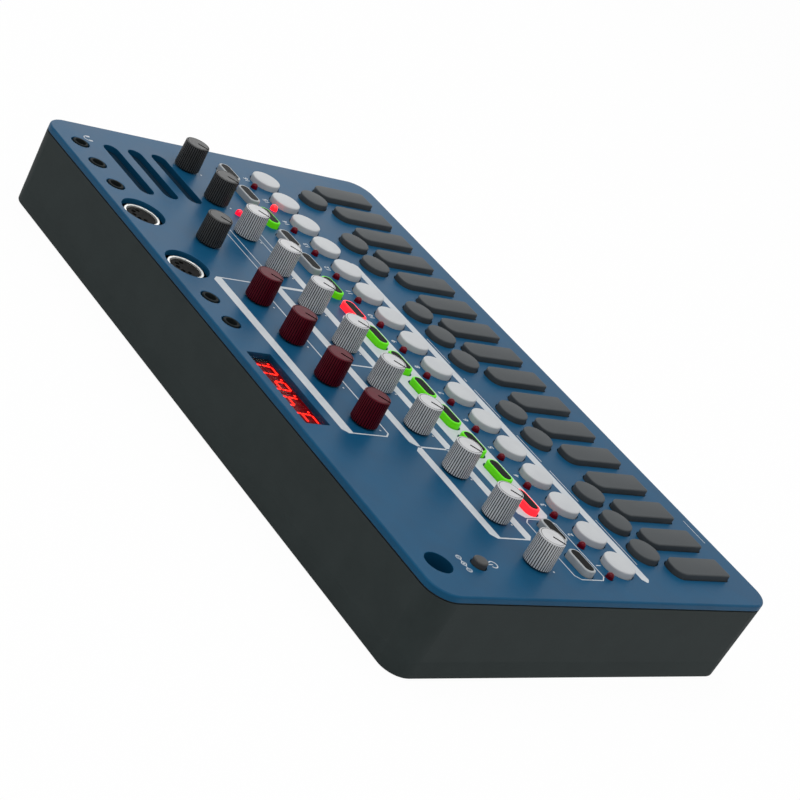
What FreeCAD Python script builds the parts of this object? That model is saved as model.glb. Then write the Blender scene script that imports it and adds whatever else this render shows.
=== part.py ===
import FreeCAD, Part
import math
import os
import Sketcher

# Compact synthesizer: a moulded tub and cover, a field of keys and buttons, sixteen knobs.
# Frame: x to the player's right, y to the rear, z up, millimetres. The origin is on the surface
# that the feet stand on, under the middle of the case.

Vector = FreeCAD.Vector
doc = FreeCAD.newDocument("synthesizer")
sheet = doc.addObject("Spreadsheet::Sheet", "Sizes")

SIZES = {
    # Case
    "case_width": 297.0,
    "case_depth": 176.0,
    "case_corner": 10.0,
    "foot_proud": 1.1,
    "tub_height": 32.1,
    "tub_draft": 2.26,
    "tub_wall": 2.4,
    "tub_floor": 2.4,
    "tub_chamfer": 2.6,
    "lip_height": 3.0,
    "lip_chamfer": 0.9,
    "panel_thick": 2.4,
    "plug_past": 0.5,
    "rim_wall": 1.2,
    "rim_gap": 0.3,
    "rim_deep": 4.0,
    "inner_facets": 3,
    # Field of controls
    "pitch": 17.08,
    "first_column": -129.3,
    "column_count": 16,
    "control_gap": 0.35,
    "control_sides": 10,
    "wing_reach": 1.0,
    "wing_thick": 1.2,
    "key_travel": 1.0,
    "strip_gap": 0.2,
    "strip_width": 5.0,
    # Keys
    "key_width": 10.3,
    "key_length": 30.0,
    "key_front": -74.5,
    "key_rear_round": 4.4,
    "key_rear_facets": 2,
    "key_front_round": 1.0,
    "key_front_facets": 1,
    "key_height": 2.4,
    "round_key_radius": 6.4,
    "round_key_row": -37.0,
    # Buttons
    "step_radius": 6.45,
    "step_row": -15.0,
    "step_height": 2.5,
    "function_width": 13.1,
    "function_depth": 5.7,
    "function_round": 2.5,
    "function_facets": 2,
    "function_row": 5.4,
    "function_height": 2.5,
    "power_radius": 2.8,
    "power_height": 2.2,
    "power_x": -131.2,
    "power_y": 57.4,
    # Knobs
    "knob_spacing": 25.62,
    "front_knob_count": 11,
    "grey_knob_count": 9,
    "red_knob_count": 4,
    "knob_base_radius": 5.5,
    "knob_draft": 1.53,
    "knob_height": 11.2,
    "knob_lift": 0.6,
    "flute_count": 12,
    "flute_depth": 0.5,
    "pointer_angle": 217.7,
    "pointer_width": 0.8,
    "pointer_deep": 0.6,
    "shaft_radius": 3.0,
    "shaft_sides": 6,
    "shaft_hole_sides": 8,
    "shaft_gap": 0.4,
    "front_knob_row": 27.6,
    "rear_knob_row": 54.0,
    "volume_x": 64.0,
    "pot_width": 9.6,
    "pot_depth": 11.0,
    "pot_height": 5.0,
    # Indicator lamps
    "lamp_radius": 1.5,
    "lamp_sides": 6,
    "lamp_gap": 0.1,
    "lamp_offset": -6.0,
    "lamp_row": -5.3,
    "lamp_proud": 2.2,
    "lamp_dome": 0.8,
    "free_lamp_x": 93.0,
    "free_lamp_y": 20.5,
    # Sockets
    "socket_row": 78.8,
    "jack_hole": 3.95,
    "jack_barrel": 3.3,
    "jack_sides": 8,
    "jack_proud": 0.3,
    "jack_lead": 2.3,
    "jack_bore": 1.8,
    "jack_bore_deep": 13.0,
    "jack_body": 8.0,
    "sync_in_x": 4.8,
    "sync_out_x": 20.9,
    "line_in_x": 99.0,
    "line_out_x": 115.0,
    "phones_x": 130.6,
    "midi_row": 76.0,
    "midi_in_x": 43.7,
    "midi_out_x": 80.0,
    "midi_hole": 9.2,
    "midi_sides": 12,
    "midi_shield": 7.5,
    "midi_shield_wall": 0.7,
    "midi_insert": 5.6,
    "midi_groove": 4.0,
    "midi_sunk": 1.5,
    "midi_neck": 5.0,
    "midi_body": 15.0,
    "midi_pin_hole": 0.8,
    "midi_pin_ring": 3.5,
    "midi_pin_count": 5,
    "pin_sides": 6,
    "power_well_x": -131.0,
    "power_well_y": 75.9,
    "power_well_radius": 5.4,
    "power_well_wall": 1.2,
    "power_well_deep": 10.0,
    "power_jack_sides": 16,
    "power_plug_radius": 2.8,
    "power_plug_deep": 5.0,
    "power_pin_radius": 1.0,
    # Display
    "window_left": -56.7,
    "window_width": 42.5,
    "window_front": 72.5,
    "window_depth": 11.2,
    "window_fit": 0.1,
    "window_thick": 1.5,
    "display_frame": 3.9,
    "display_depth": 11.8,
    # Speaker
    "speaker_x": 114.5,
    "speaker_y": 51.9,
    "speaker_radius": 18.5,
    "speaker_flange": 1.5,
    "speaker_sides": 16,
    "cone_radius": 15.5,
    "cone_deep": 1.0,
    "basket_radius": 13.0,
    "basket_height": 5.5,
    "magnet_radius": 10.0,
    "magnet_height": 5.0,
    "grille_length": 37.5,
    "grille_width": 7.0,
    "grille_pitch": 12.1,
    "grille_count": 3,
    "grille_facets": 6,
    # Boards
    "board_thick": 1.6,
    "board_top": 27.6,
    "board_half_width": 136.5,
    "board_front": -82.0,
    "board_rear": 66.0,
    "socket_board_top": 19.6,
    "socket_board_front": 67.0,
    "socket_board_rear": 84.6,
    "speaker_clear": 1.0,
    "rib_thick": 1.6,
    "rib_x": 90.0,
    "rib_inset": 3.0,
    # Battery bay for six AA cells, three across and two along
    "cell_diameter": 14.5,
    "cell_length": 50.5,
    "cells_across": 3,
    "cells_along": 2,
    "cell_play": 0.8,
    "contact_room": 7.0,
    "bay_y": 18.0,
    "bay_wall": 3.4,
    "bay_roof": 1.6,
    "door_ledge": 3.0,
    "door_gap": 0.3,
    "door_thick": 2.0,
    "tab_width": 12.0,
    "tab_spread": 35.0,
    "tab_reach": 2.6,
    "tab_thick": 1.4,
    "tab_lift": 0.3,
    "tab_swing": 1.2,
    "notch_width": 18.0,
    "notch_deep": 1.0,
    "notch_reach": 4.0,
    # Feet and screws
    "foot_radius": 6.0,
    "foot_sides": 16,
    "foot_sunk": 0.8,
    "foot_x": 126.0,
    "foot_y": 66.0,
    "screw_x": 140.5,
    "screw_y": 79.5,
    "tower_width": 7.0,
    "tower_height": 18.5,
    "boss_width": 5.6,
    "screw_hole": 1.6,
    "screw_shank": 1.4,
    "shank_sides": 6,
    "screw_head": 2.8,
    "screw_head_hole": 3.1,
    "head_sides": 8,
    "screw_head_thick": 1.5,
    "screw_bite": 6.0,
}
for row, (alias, value) in enumerate(SIZES.items(), 1):
    sheet.set("A%d" % row, alias)
    sheet.set("B%d" % row, str(value))
    sheet.setAlias("B%d" % row, alias)
doc.recompute()


class Length:
    """A value kept beside the expression that works it out from the sheet."""

    def __init__(self, text, value):
        self.text = text
        self.value = float(value)

    def __float__(self):
        return self.value

    def __neg__(self):
        return Length("(-%s)" % self.text, -self.value)

    def __add__(self, other):
        other = length(other)
        return Length("(%s + %s)" % (self.text, other.text), self.value + other.value)

    def __radd__(self, other):
        return length(other) + self

    def __sub__(self, other):
        return self + (-length(other))

    def __rsub__(self, other):
        return length(other) - self

    def __mul__(self, other):
        other = length(other)
        return Length("(%s * %s)" % (self.text, other.text), self.value * other.value)

    def __rmul__(self, other):
        return self * other

    def __truediv__(self, other):
        other = length(other)
        return Length("(%s / %s)" % (self.text, other.text), self.value / other.value)


def length(thing):
    """A Length from a plain number, or the Length itself."""
    if isinstance(thing, Length):
        return thing
    return Length("%.9f" % thing if thing >= 0 else "(%.9f)" % thing, thing)


class Sheet:
    """The sheet's cells by name, as Lengths."""

    def __getattr__(self, alias):
        return Length("Sizes." + alias, getattr(sheet, alias))


s = Sheet()


def whole(count):
    """A count from the sheet, as a whole number."""
    return int(round(float(count)))


# Levels and centre lines that several pieces share
seam = s.foot_proud + s.tub_height
panel_top = seam + s.lip_height
panel_under = panel_top - s.panel_thick
wing_under = panel_under - s.wing_thick
floor_top = s.foot_proud + s.tub_floor
board_under = s.board_top - s.board_thick
half_width = s.case_width / 2
half_depth = s.case_depth / 2
rim_inset = s.tub_wall + s.rim_gap
columns = whole(s.column_count)
knob_under = panel_top + s.knob_lift
pot_top = s.board_top + s.pot_height
well_under = panel_top - s.power_well_deep
jack_places = (s.sync_in_x, s.sync_out_x, s.line_in_x, s.line_out_x, s.phones_x)
midi_places = (s.midi_in_x, s.midi_out_x)
tower_top = s.foot_proud + s.tower_height
corners = ((-1, -1), (1, -1), (1, 1), (-1, 1))
ROUND_KEY_AFTER = (1, 2, 3, 5, 6, 8, 9, 10, 12, 13, 15)
FIRST_RED_COLUMN = 3


def column(index):
    """The x of a column of buttons, counted from 0 at the left."""
    return s.first_column + s.pitch * index


def knob_column(index):
    """The x of a column of knobs, counted from 0 at the left."""
    return s.first_column + s.knob_spacing * index


def red_knob_column(index):
    """The x of a red knob, counted from 0 at the left."""
    return knob_column(index + FIRST_RED_COLUMN)


# Bodies, sketches and features


def new_body(label):
    """An empty body, which may hold several solids."""
    made = doc.addObject("PartDesign::Body", label)
    made.Label = label
    made.AllowCompound = True
    return made


def new_sketch(body, level):
    """A sketch on the body's level plane, moved up to a level."""
    sketch = body.newObject("Sketcher::SketchObject", body.Label + "_sketch")
    planes = [plane for plane in body.Origin.OriginFeatures if plane.Role == "XY_Plane"]
    sketch.AttachmentSupport = [(planes[0], "")]
    sketch.MapMode = "FlatFace"
    sketch.setExpression("AttachmentOffset.Base.z", length(level).text)
    return sketch


def hold(sketch, dimensions):
    """Dimensions that follow the sheet: each is its kind, its value and what it measures."""
    values = [length(value) for kind, value, where in dimensions]
    held = [Sketcher.Constraint(kind, *where, float(value)) for kind, value, where in dimensions]
    for index, value in zip(sketch.addConstraint(held), values):
        sketch.setExpression("Constraints[%d]" % index, value.text)


def place(x, y, *where):
    """The two dimensions that hold a point by its distances from the sketch's origin."""
    return [("DistanceX", x, (-1, 1, *where)), ("DistanceY", y, (-1, 1, *where))]


def joined(first, count):
    """Constraints that join a run of lines end to end, all the way round."""
    return [Sketcher.Constraint("Coincident", first + index, 2, first + (index + 1) % count, 1)
            for index in range(count)]


def polygon(sketch, points):
    """A closed outline of straight lines."""
    first = sketch.GeometryCount
    ends = [Vector(float(x), float(y), 0) for x, y in points]
    count = len(ends)
    lines = [Part.LineSegment(start, ends[(index + 1) % count]) for index, start in enumerate(ends)]
    sketch.addGeometry(lines, False)
    sketch.addConstraint(joined(first, count))
    dimensions = []
    for index, (x, y) in enumerate(points):
        dimensions += place(x, y, first + index, 1)
    hold(sketch, dimensions)


def arc_points(x, y, radius, start, end, steps):
    """Corners along an arc, from one angle to another."""
    points = []
    for step in range(steps + 1):
        angle = math.radians(start + (end - start) * step / steps)
        points.append((x + radius * math.cos(angle), y + radius * math.sin(angle)))
    return points


def regular(sketch, x, y, radius, sides):
    """A regular outline with its corners on a guiding circle and a flat to the right."""
    sides = whole(sides)
    half_side = 180 / sides
    first = sketch.GeometryCount
    corner_points = arc_points(x, y, radius, half_side, 360 - half_side, sides - 1)
    ends = [Vector(float(across), float(along), 0) for across, along in corner_points]
    lines = [Part.LineSegment(start, ends[(index + 1) % sides]) for index, start in enumerate(ends)]
    sketch.addGeometry(lines, False)
    guide_circle = Part.Circle(Vector(float(x), float(y), 0), Vector(0, 0, 1), float(radius))
    guide = sketch.addGeometry(guide_circle, True)
    held = joined(first, sides)
    for line in range(first, first + sides):
        held.append(Sketcher.Constraint("PointOnObject", line, 1, guide))
    for line in range(first + 1, first + sides):
        held.append(Sketcher.Constraint("Equal", first, line))
    held.append(Sketcher.Constraint("Vertical", first + sides - 1))
    sketch.addConstraint(held)
    hold(sketch, [("Radius", radius, (guide,))] + place(x, y, guide, 3))


def rectangle(sketch, left, right, front, rear):
    """A rectangle by its four edges."""
    polygon(sketch, ((left, front), (right, front), (right, rear), (left, rear)))


def box_at(sketch, x, y, width, depth):
    """A rectangle by its centre."""
    rectangle(sketch, x - width / 2, x + width / 2, y - depth / 2, y + depth / 2)


def circle(sketch, x, y, radius):
    """A circle held by its centre and radius."""
    round_line = Part.Circle(Vector(float(x), float(y), 0), Vector(0, 0, 1), float(radius))
    index = sketch.addGeometry(round_line, False)
    hold(sketch, [("Radius", radius, (index,))] + place(x, y, index, 3))


def arc_chain(sketch, arcs):
    """Arcs run one way round and joined by tangent lines: x, y, radius, start and end angle."""
    first = sketch.GeometryCount
    made = []
    for x, y, radius, start, end in arcs:
        centre = Vector(float(x), float(y), 0)
        whole_circle = Part.Circle(centre, Vector(0, 0, 1), float(radius))
        made.append(Part.ArcOfCircle(whole_circle, math.radians(start), math.radians(end)))
    count = len(made)
    for arc in made:
        sketch.addGeometry(arc, False)
    for index, arc in enumerate(made):
        following = made[(index + 1) % count]
        sketch.addGeometry(Part.LineSegment(arc.EndPoint, following.StartPoint), False)
    for index, (x, y, radius, start, end) in enumerate(arcs):
        arc = first + index
        line = first + count + index
        following = first + (index + 1) % count
        sketch.addConstraint(Sketcher.Constraint("Tangent", arc, 2, line, 1))
        sketch.addConstraint(Sketcher.Constraint("Tangent", line, 2, following, 1))
        hold(sketch, [("Radius", radius, (arc,))] + place(x, y, arc, 3))


def rounded(sketch, left, right, front, rear, radius):
    """A rectangle with rounded corners."""
    places = ((right, rear, 0), (left, rear, 90), (left, front, 180), (right, front, 270))
    arcs = []
    for x, y, start in places:
        inward_x = radius if x is left else -radius
        inward_y = radius if y is front else -radius
        arcs.append((x + inward_x, y + inward_y, radius, start, start + 90))
    arc_chain(sketch, arcs)


def faceted(left, right, front, rear, rear_round, front_round, rear_facets, front_facets):
    """A rectangle's outline with its round corners in short flats, for what repeats many times."""
    rear_facets = whole(rear_facets)
    front_facets = whole(front_facets)
    return (
        arc_points(right - rear_round, rear - rear_round, rear_round, 0, 90, rear_facets)
        + arc_points(left + rear_round, rear - rear_round, rear_round, 90, 180, rear_facets)
        + arc_points(left + front_round, front + front_round, front_round, 180, 270, front_facets)
        + arc_points(right - front_round, front + front_round, front_round, 270, 360, front_facets))


def stadium(x, y, width, depth, facets):
    """The corners of a slot with half-round ends, lying along x."""
    reach = (width - depth) / 2
    facets = whole(facets)
    return (arc_points(x + reach, y, depth / 2, -90, 90, facets)
            + arc_points(x - reach, y, depth / 2, 90, 270, facets))


def pad(body, sketch, height, down=False):
    """Material on a sketch, upward unless told otherwise."""
    made = body.newObject("PartDesign::Pad", body.Label + "_pad")
    made.Profile = sketch
    made.setExpression("Length", length(height).text)
    made.Reversed = down
    sketch.Visibility = False
    body.Tip = made
    doc.recompute()
    return made


def pocket(body, sketch, depth=None, up=False):
    """A cut from a sketch, downward and right through unless told otherwise."""
    before = body.Shape.Volume
    made = body.newObject("PartDesign::Pocket", body.Label + "_pocket")
    made.Profile = sketch
    if depth is None:
        made.Type = "ThroughAll"
    else:
        made.setExpression("Length", length(depth).text)
    made.Reversed = up
    body.Tip = made
    doc.recompute()
    if not body.Shape.Volume < before:
        raise ValueError("a pocket in %s cut nothing" % body.Label)
    return made


def in_row(body, feature, count, step):
    """Copies of a feature along x."""
    made = body.newObject("PartDesign::LinearPattern", body.Label + "_row")
    made.Originals = [feature]
    made.Direction = (feature.Profile[0], ["H_Axis"])
    made.setExpression("Length", (step * (count - 1)).text)
    made.setExpression("Occurrences", count.text)
    body.Tip = made
    doc.recompute()
    return made


def level_edges(shape, level):
    """The names of the edges that lie at one height."""
    names = []
    for index, edge in enumerate(shape.Edges, 1):
        if abs(edge.BoundBox.ZMin - float(level)) < 1e-4 and edge.BoundBox.ZLength < 1e-4:
            names.append("Edge%d" % index)
    return names


def break_edges(body, names, size):
    """A chamfer on some of the body's edges."""
    base = body.Tip
    made = body.newObject("PartDesign::Chamfer", body.Label + "_chamfer")
    made.Base = (base, names)
    made.setExpression("Size", length(size).text)
    body.Tip = made
    doc.recompute()
    return made


def lean_walls(body, foot, level, angle, down=False):
    """Leans the walls that start at one level, about the flat face at another, which stays.

    An outside gets narrower and a hollow wider on the way up, or on the way down if told so.
    """
    base = body.Tip
    walls = []
    flats = []
    for index, face in enumerate(base.Shape.Faces, 1):
        name = "Face%d" % index
        box = face.BoundBox
        if box.ZLength > 1 and abs(box.ZMin - float(foot)) < 1e-4:
            walls.append(name)
        elif box.ZLength < 1e-4 and abs(box.ZMin - float(level)) < 1e-4:
            flats.append(name)
    made = body.newObject("PartDesign::Draft", body.Label + "_draft")
    made.Base = (base, walls)
    made.NeutralPlane = (base, flats[:1])
    made.Reversed = down
    made.setExpression("Angle", angle.text)
    body.Tip = made
    doc.recompute()
    return made


def cut_with(body, tools):
    """One cut by all the solids of other bodies."""
    made = body.newObject("PartDesign::Boolean", body.Label + "_cut")
    made.Type = "Cut"
    made.setObjects(tools)
    body.Tip = made
    doc.recompute()
    return made


def assembled(label, pieces, x=0, y=0, angle=0):
    """A named piece of the object, made of solids that move as one, set in its place."""
    made = doc.addObject("Part::Compound", label)
    made.Label = label
    made.Links = pieces
    made.setExpression("Placement.Base.x", length(x).text)
    made.setExpression("Placement.Base.y", length(y).text)
    made.setExpression("Placement.Rotation.Angle", length(angle).text)
    return made


# Case

def case_outline(sketch, inset):
    """The case's outline, drawn in by an inset with the corners still concentric."""
    x = half_width - inset
    y = half_depth - inset
    rounded(sketch, -x, x, -y, y, s.case_corner - inset)


def inner_outline(sketch, inset):
    """The same outline further in, its corners in flats, for walls inside the case."""
    x = half_width - inset
    y = half_depth - inset
    arc = s.case_corner - inset
    polygon(sketch, faceted(-x, x, -y, y, arc, arc, s.inner_facets, s.inner_facets))


def long_key_outline(x, front, grow):
    """A long key's outline, or with some growth the opening round it."""
    reach = s.key_width / 2 + grow
    return faceted(x - reach, x + reach, front - grow, front + s.key_length + grow,
                   s.key_rear_round + grow, s.key_front_round + grow,
                   s.key_rear_facets, s.key_front_facets)


def function_outline(x, y, grow):
    """A function button's outline, or with some growth the opening round it."""
    wide = s.function_width / 2 + grow
    deep = s.function_depth / 2 + grow
    arc = s.function_round + grow
    return faceted(x - wide, x + wide, y - deep, y + deep, arc, arc, s.function_facets,
                   s.function_facets)


def make_top_cover():
    """The moulded cover: panel, lip, rim, openings, the power well and four screw bosses."""
    body = new_body("top_cover")
    plate = new_sketch(body, seam)
    case_outline(plate, length(0))
    pad(body, plate, s.lip_height)
    break_edges(body, level_edges(body.Shape, panel_top), s.lip_chamfer)

    hollow = new_sketch(body, seam)
    inner_outline(hollow, rim_inset + s.rim_wall)
    pocket(body, hollow, s.lip_height - s.panel_thick, up=True)

    rim = new_sketch(body, seam)
    inner_outline(rim, rim_inset)
    inner_outline(rim, rim_inset + s.rim_wall)
    pad(body, rim, s.rim_deep, down=True)

    bosses = new_sketch(body, panel_under)
    for side, end in corners:
        box_at(bosses, s.screw_x * side, s.screw_y * end, s.boss_width, s.boss_width)
    pad(body, bosses, panel_under - tower_top, down=True)
    pilots = new_sketch(body, tower_top)
    for side, end in corners:
        regular(pilots, s.screw_x * side, s.screw_y * end, s.screw_shank, s.shank_sides)
    pocket(body, pilots, s.screw_bite, up=True)

    well = new_sketch(body, panel_under)
    regular(well, s.power_well_x, s.power_well_y, s.power_well_radius + s.power_well_wall,
            s.power_jack_sides)
    pad(body, well, panel_under - well_under, down=True)
    cut_with(body, make_openings())
    return body


def make_openings():
    """The plugs that are cut from the panel, one body for each kind, reaching past both faces."""
    gap = s.control_gap
    row = (s.column_count, s.pitch)
    made = [
        plugs("long_key_openings", [long_key_outline(column(0), s.key_front, gap)], row),
        plugs("step_openings", [button_hole(column(0), s.step_row, s.step_radius)], row),
        plugs("function_openings", [function_outline(column(0), s.function_row, gap)], row),
        plugs("lamp_openings", [lamp_hole(column(0) + s.lamp_offset, s.lamp_row)], row),
        plugs("shaft_openings", [shaft_hole(knob_column(0), s.front_knob_row)],
              (s.front_knob_count, s.knob_spacing))]
    round_keys = []
    for index in ROUND_KEY_AFTER:
        round_keys.append(button_hole(column(index - 0.5), s.round_key_row, s.round_key_radius))
    made.append(plugs("round_key_openings", round_keys))
    rear_shafts = [shaft_hole(s.volume_x, s.rear_knob_row)]
    for index in range(whole(s.red_knob_count)):
        rear_shafts.append(shaft_hole(red_knob_column(index), s.rear_knob_row))
    made.append(plugs("rear_shaft_openings", rear_shafts))

    sockets = []
    for x in jack_places:
        sockets.append((x, s.socket_row, s.jack_hole, s.jack_sides))
    for x in midi_places:
        sockets.append((x, s.midi_row, s.midi_hole, s.midi_sides))
    made.append(plugs("socket_openings", sockets))
    window = (
        (s.window_left, s.window_front),
        (s.window_left + s.window_width, s.window_front),
        (s.window_left + s.window_width, s.window_front + s.window_depth),
        (s.window_left, s.window_front + s.window_depth))
    made.append(plugs("single_openings", [
        lamp_hole(s.free_lamp_x, s.free_lamp_y),
        button_hole(s.power_x, s.power_y, s.power_radius),
        window]))
    grille = []
    for index in range(whole(s.grille_count)):
        y = s.speaker_y + s.grille_pitch * (index - (whole(s.grille_count) - 1) / 2)
        grille.append(stadium(s.speaker_x, y, s.grille_length, s.grille_width, s.grille_facets))
    made.append(plugs("grille_openings", grille))
    well = new_body("well_opening")
    bore = new_sketch(well, panel_top + s.plug_past)
    regular(bore, s.power_well_x, s.power_well_y, s.power_well_radius, s.power_jack_sides)
    pad(well, bore, s.power_well_deep + s.plug_past, down=True)
    made.append(well)
    return made


def plugs(label, outlines, row=None):
    """A body of plugs: an outline is its corners, or the numbers of a regular outline."""
    body = new_body(label)
    for outline in outlines:
        sketch = new_sketch(body, panel_top + s.plug_past)
        if isinstance(outline[0], tuple):
            polygon(sketch, outline)
        else:
            regular(sketch, *outline)
        plug = pad(body, sketch, s.panel_thick + s.plug_past * 2, down=True)
    if row is not None:
        in_row(body, plug, *row)
    return body


def button_hole(x, y, radius):
    """The opening round a round key or button."""
    return x, y, radius + s.control_gap, s.control_sides


def lamp_hole(x, y):
    """The opening round a lamp."""
    return x, y, s.lamp_radius + s.lamp_gap, s.lamp_sides


def shaft_hole(x, y):
    """The hole that a knob's shaft turns in."""
    return x, y, s.shaft_radius + s.shaft_gap, s.shaft_hole_sides


# The battery bay holds the cells lying along x, and its door closes it from below
bay_width = s.cell_length * s.cells_along + s.contact_room
bay_depth = (s.cell_diameter + s.cell_play) * s.cells_across
bay_top = s.foot_proud + s.door_thick + s.cell_diameter + s.cell_play
door_width = bay_width + s.door_ledge * 2
door_depth = bay_depth + s.door_ledge * 2
door_front = s.bay_y - door_depth / 2
bay_front = s.bay_y - bay_depth / 2
tab_level = floor_top + s.tab_lift


def make_bottom_case():
    """The moulded tub: drafted walls, floor, battery bay, ribs, screw towers and foot seats."""
    body = new_body("bottom_case")
    brim = new_sketch(body, seam)
    case_outline(brim, length(0))
    pad(body, brim, s.tub_height, down=True)
    lean_walls(body, s.foot_proud, seam, s.tub_draft, down=True)
    break_edges(body, level_edges(body.Shape, s.foot_proud), s.tub_chamfer)
    inside = new_sketch(body, seam)
    inner_outline(inside, s.tub_wall)
    pocket(body, inside, seam - floor_top)
    lean_walls(body, floor_top, seam, s.tub_draft)

    bay = new_sketch(body, floor_top)
    box_at(bay, length(0), s.bay_y, bay_width + s.bay_wall * 2, bay_depth + s.bay_wall * 2)
    pad(body, bay, bay_top + s.bay_roof - floor_top)
    cells = new_sketch(body, s.foot_proud)
    box_at(cells, length(0), s.bay_y, bay_width, bay_depth)
    pocket(body, cells, bay_top - s.foot_proud, up=True)
    doorway = new_sketch(body, s.foot_proud)
    box_at(doorway, length(0), s.bay_y, door_width + s.door_gap * 2, door_depth + s.door_gap * 2)
    pocket(body, doorway, s.door_thick, up=True)
    tab_slots = new_sketch(body, floor_top)
    riser_slots = new_sketch(body, s.foot_proud + s.door_thick)
    for side in (-1, 1):
        slot_width = s.tab_width + s.door_gap * 2
        left = s.tab_spread * side - slot_width / 2
        front = door_front - s.tab_reach - s.door_gap
        rectangle(tab_slots, left, left + slot_width, front, bay_front)
        rectangle(riser_slots, left, left + slot_width, door_front - s.door_gap, bay_front)
    pocket(body, tab_slots, s.tab_lift + s.tab_thick + s.tab_swing, up=True)
    pocket(body, riser_slots, floor_top - s.foot_proud - s.door_thick, up=True)

    towers = new_sketch(body, floor_top)
    for side, end in corners:
        box_at(towers, s.screw_x * side, s.screw_y * end, s.tower_width, s.tower_width)
    pad(body, towers, tower_top - floor_top)
    shanks = new_sketch(body, s.foot_proud)
    heads = new_sketch(body, s.foot_proud)
    for side, end in corners:
        regular(shanks, s.screw_x * side, s.screw_y * end, s.screw_hole, s.shank_sides)
        regular(heads, s.screw_x * side, s.screw_y * end, s.screw_head_hole, s.head_sides)
    pocket(body, shanks, s.tower_height, up=True)
    pocket(body, heads, s.tub_floor, up=True)

    seats = new_sketch(body, s.foot_proud)
    for side, end in corners:
        regular(seats, s.foot_x * side, s.foot_y * end, s.foot_radius, s.foot_sides)
    pocket(body, seats, s.foot_sunk, up=True)

    ribs = new_sketch(body, floor_top)
    low_ribs = new_sketch(body, floor_top)
    for side in (-1, 1):
        left = s.rib_x * side - s.rib_thick / 2
        rectangle(ribs, left, left + s.rib_thick, s.board_front + s.rib_inset,
                  s.board_rear - s.rib_inset)
        rectangle(low_ribs, left, left + s.rib_thick, s.socket_board_front + s.rib_inset,
                  s.socket_board_rear - s.rib_inset)
    pad(body, ribs, board_under - floor_top)
    pad(body, low_ribs, s.socket_board_top - s.board_thick - floor_top)
    return body


def make_battery_door():
    """The bay's door, with two tabs over the floor at its front and a finger notch at its rear."""
    body = new_body("battery_door")
    lid = new_sketch(body, s.foot_proud)
    box_at(lid, length(0), s.bay_y, door_width, door_depth)
    pad(body, lid, s.door_thick)
    notch = new_sketch(body, s.foot_proud)
    rear = s.bay_y + door_depth / 2
    rectangle(notch, -s.notch_width / 2, s.notch_width / 2, rear - s.notch_reach * 2,
              rear - s.notch_reach)
    pocket(body, notch, s.notch_deep, up=True)
    risers = new_sketch(body, s.foot_proud + s.door_thick)
    tabs = new_sketch(body, tab_level)
    for side in (-1, 1):
        left = s.tab_spread * side - s.tab_width / 2
        rectangle(risers, left, left + s.tab_width, door_front, door_front + s.tab_thick)
        rectangle(tabs, left, left + s.tab_width, door_front - s.tab_reach,
                  door_front + s.tab_thick)
    pad(body, risers, tab_level + s.tab_thick - s.foot_proud - s.door_thick)
    pad(body, tabs, s.tab_thick)
    return body


def make_rubber_feet():
    """Four round feet, seated in the tub's recesses."""
    body = new_body("rubber_feet")
    feet = new_sketch(body, 0)
    for side, end in corners:
        regular(feet, s.foot_x * side, s.foot_y * end, s.foot_radius, s.foot_sides)
    pad(body, feet, s.foot_proud + s.foot_sunk)
    return body


def make_case_screws():
    """Four screws up through the tub's towers into the cover's bosses."""
    body = new_body("case_screws")
    shanks = new_sketch(body, floor_top)
    heads = new_sketch(body, floor_top)
    for side, end in corners:
        regular(heads, s.screw_x * side, s.screw_y * end, s.screw_head, s.head_sides)
        regular(shanks, s.screw_x * side, s.screw_y * end, s.screw_shank, s.shank_sides)
    pad(body, heads, s.screw_head_thick, down=True)
    pad(body, shanks, tower_top + s.screw_bite - floor_top)
    return body


# Inside the case

def make_circuit_boards():
    """The control board, cut back round the speaker, and the lower board of the sockets."""
    body = new_body("circuit_boards")
    control = new_sketch(body, board_under)
    clear = s.speaker_radius + s.speaker_clear
    polygon(control, (
        (-s.board_half_width, s.board_front),
        (s.board_half_width, s.board_front),
        (s.board_half_width, s.speaker_y - clear),
        (s.speaker_x - clear, s.speaker_y - clear),
        (s.speaker_x - clear, s.board_rear),
        (-s.board_half_width, s.board_rear)))
    pad(body, control, s.board_thick)
    lower = new_sketch(body, s.socket_board_top - s.board_thick)
    rectangle(lower, -s.board_half_width, s.board_half_width, s.socket_board_front,
              s.socket_board_rear)
    pad(body, lower, s.board_thick)
    return body


def make_contact_strips():
    """Rubber strips on the control board, one under each row of keys, and the power switch."""
    body = new_body("contact_strips")
    sketch = new_sketch(body, s.board_top)
    middle = (column(0) + column(columns - 1)) / 2
    row_length = s.pitch * (s.column_count - 1) + s.strip_width
    key_middle = s.key_front + s.key_length / 2
    for y in (key_middle, s.round_key_row, s.step_row, s.function_row):
        box_at(sketch, middle, y, row_length, s.strip_width)
    box_at(sketch, s.power_x, s.power_y, s.strip_width, s.strip_width)
    pad(body, sketch, wing_under - s.key_travel - s.strip_gap - s.board_top)
    return body


def make_potentiometers():
    """One potentiometer under each knob, standing on the control board."""
    body = new_body("potentiometers")
    front = new_sketch(body, s.board_top)
    box_at(front, knob_column(0), s.front_knob_row, s.pot_width, s.pot_depth)
    in_row(body, pad(body, front, s.pot_height), s.front_knob_count, s.knob_spacing)
    rear = new_sketch(body, s.board_top)
    for index in range(whole(s.red_knob_count)):
        box_at(rear, red_knob_column(index), s.rear_knob_row, s.pot_width, s.pot_depth)
    box_at(rear, s.volume_x, s.rear_knob_row, s.pot_width, s.pot_depth)
    pad(body, rear, s.pot_height)
    return body


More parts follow.
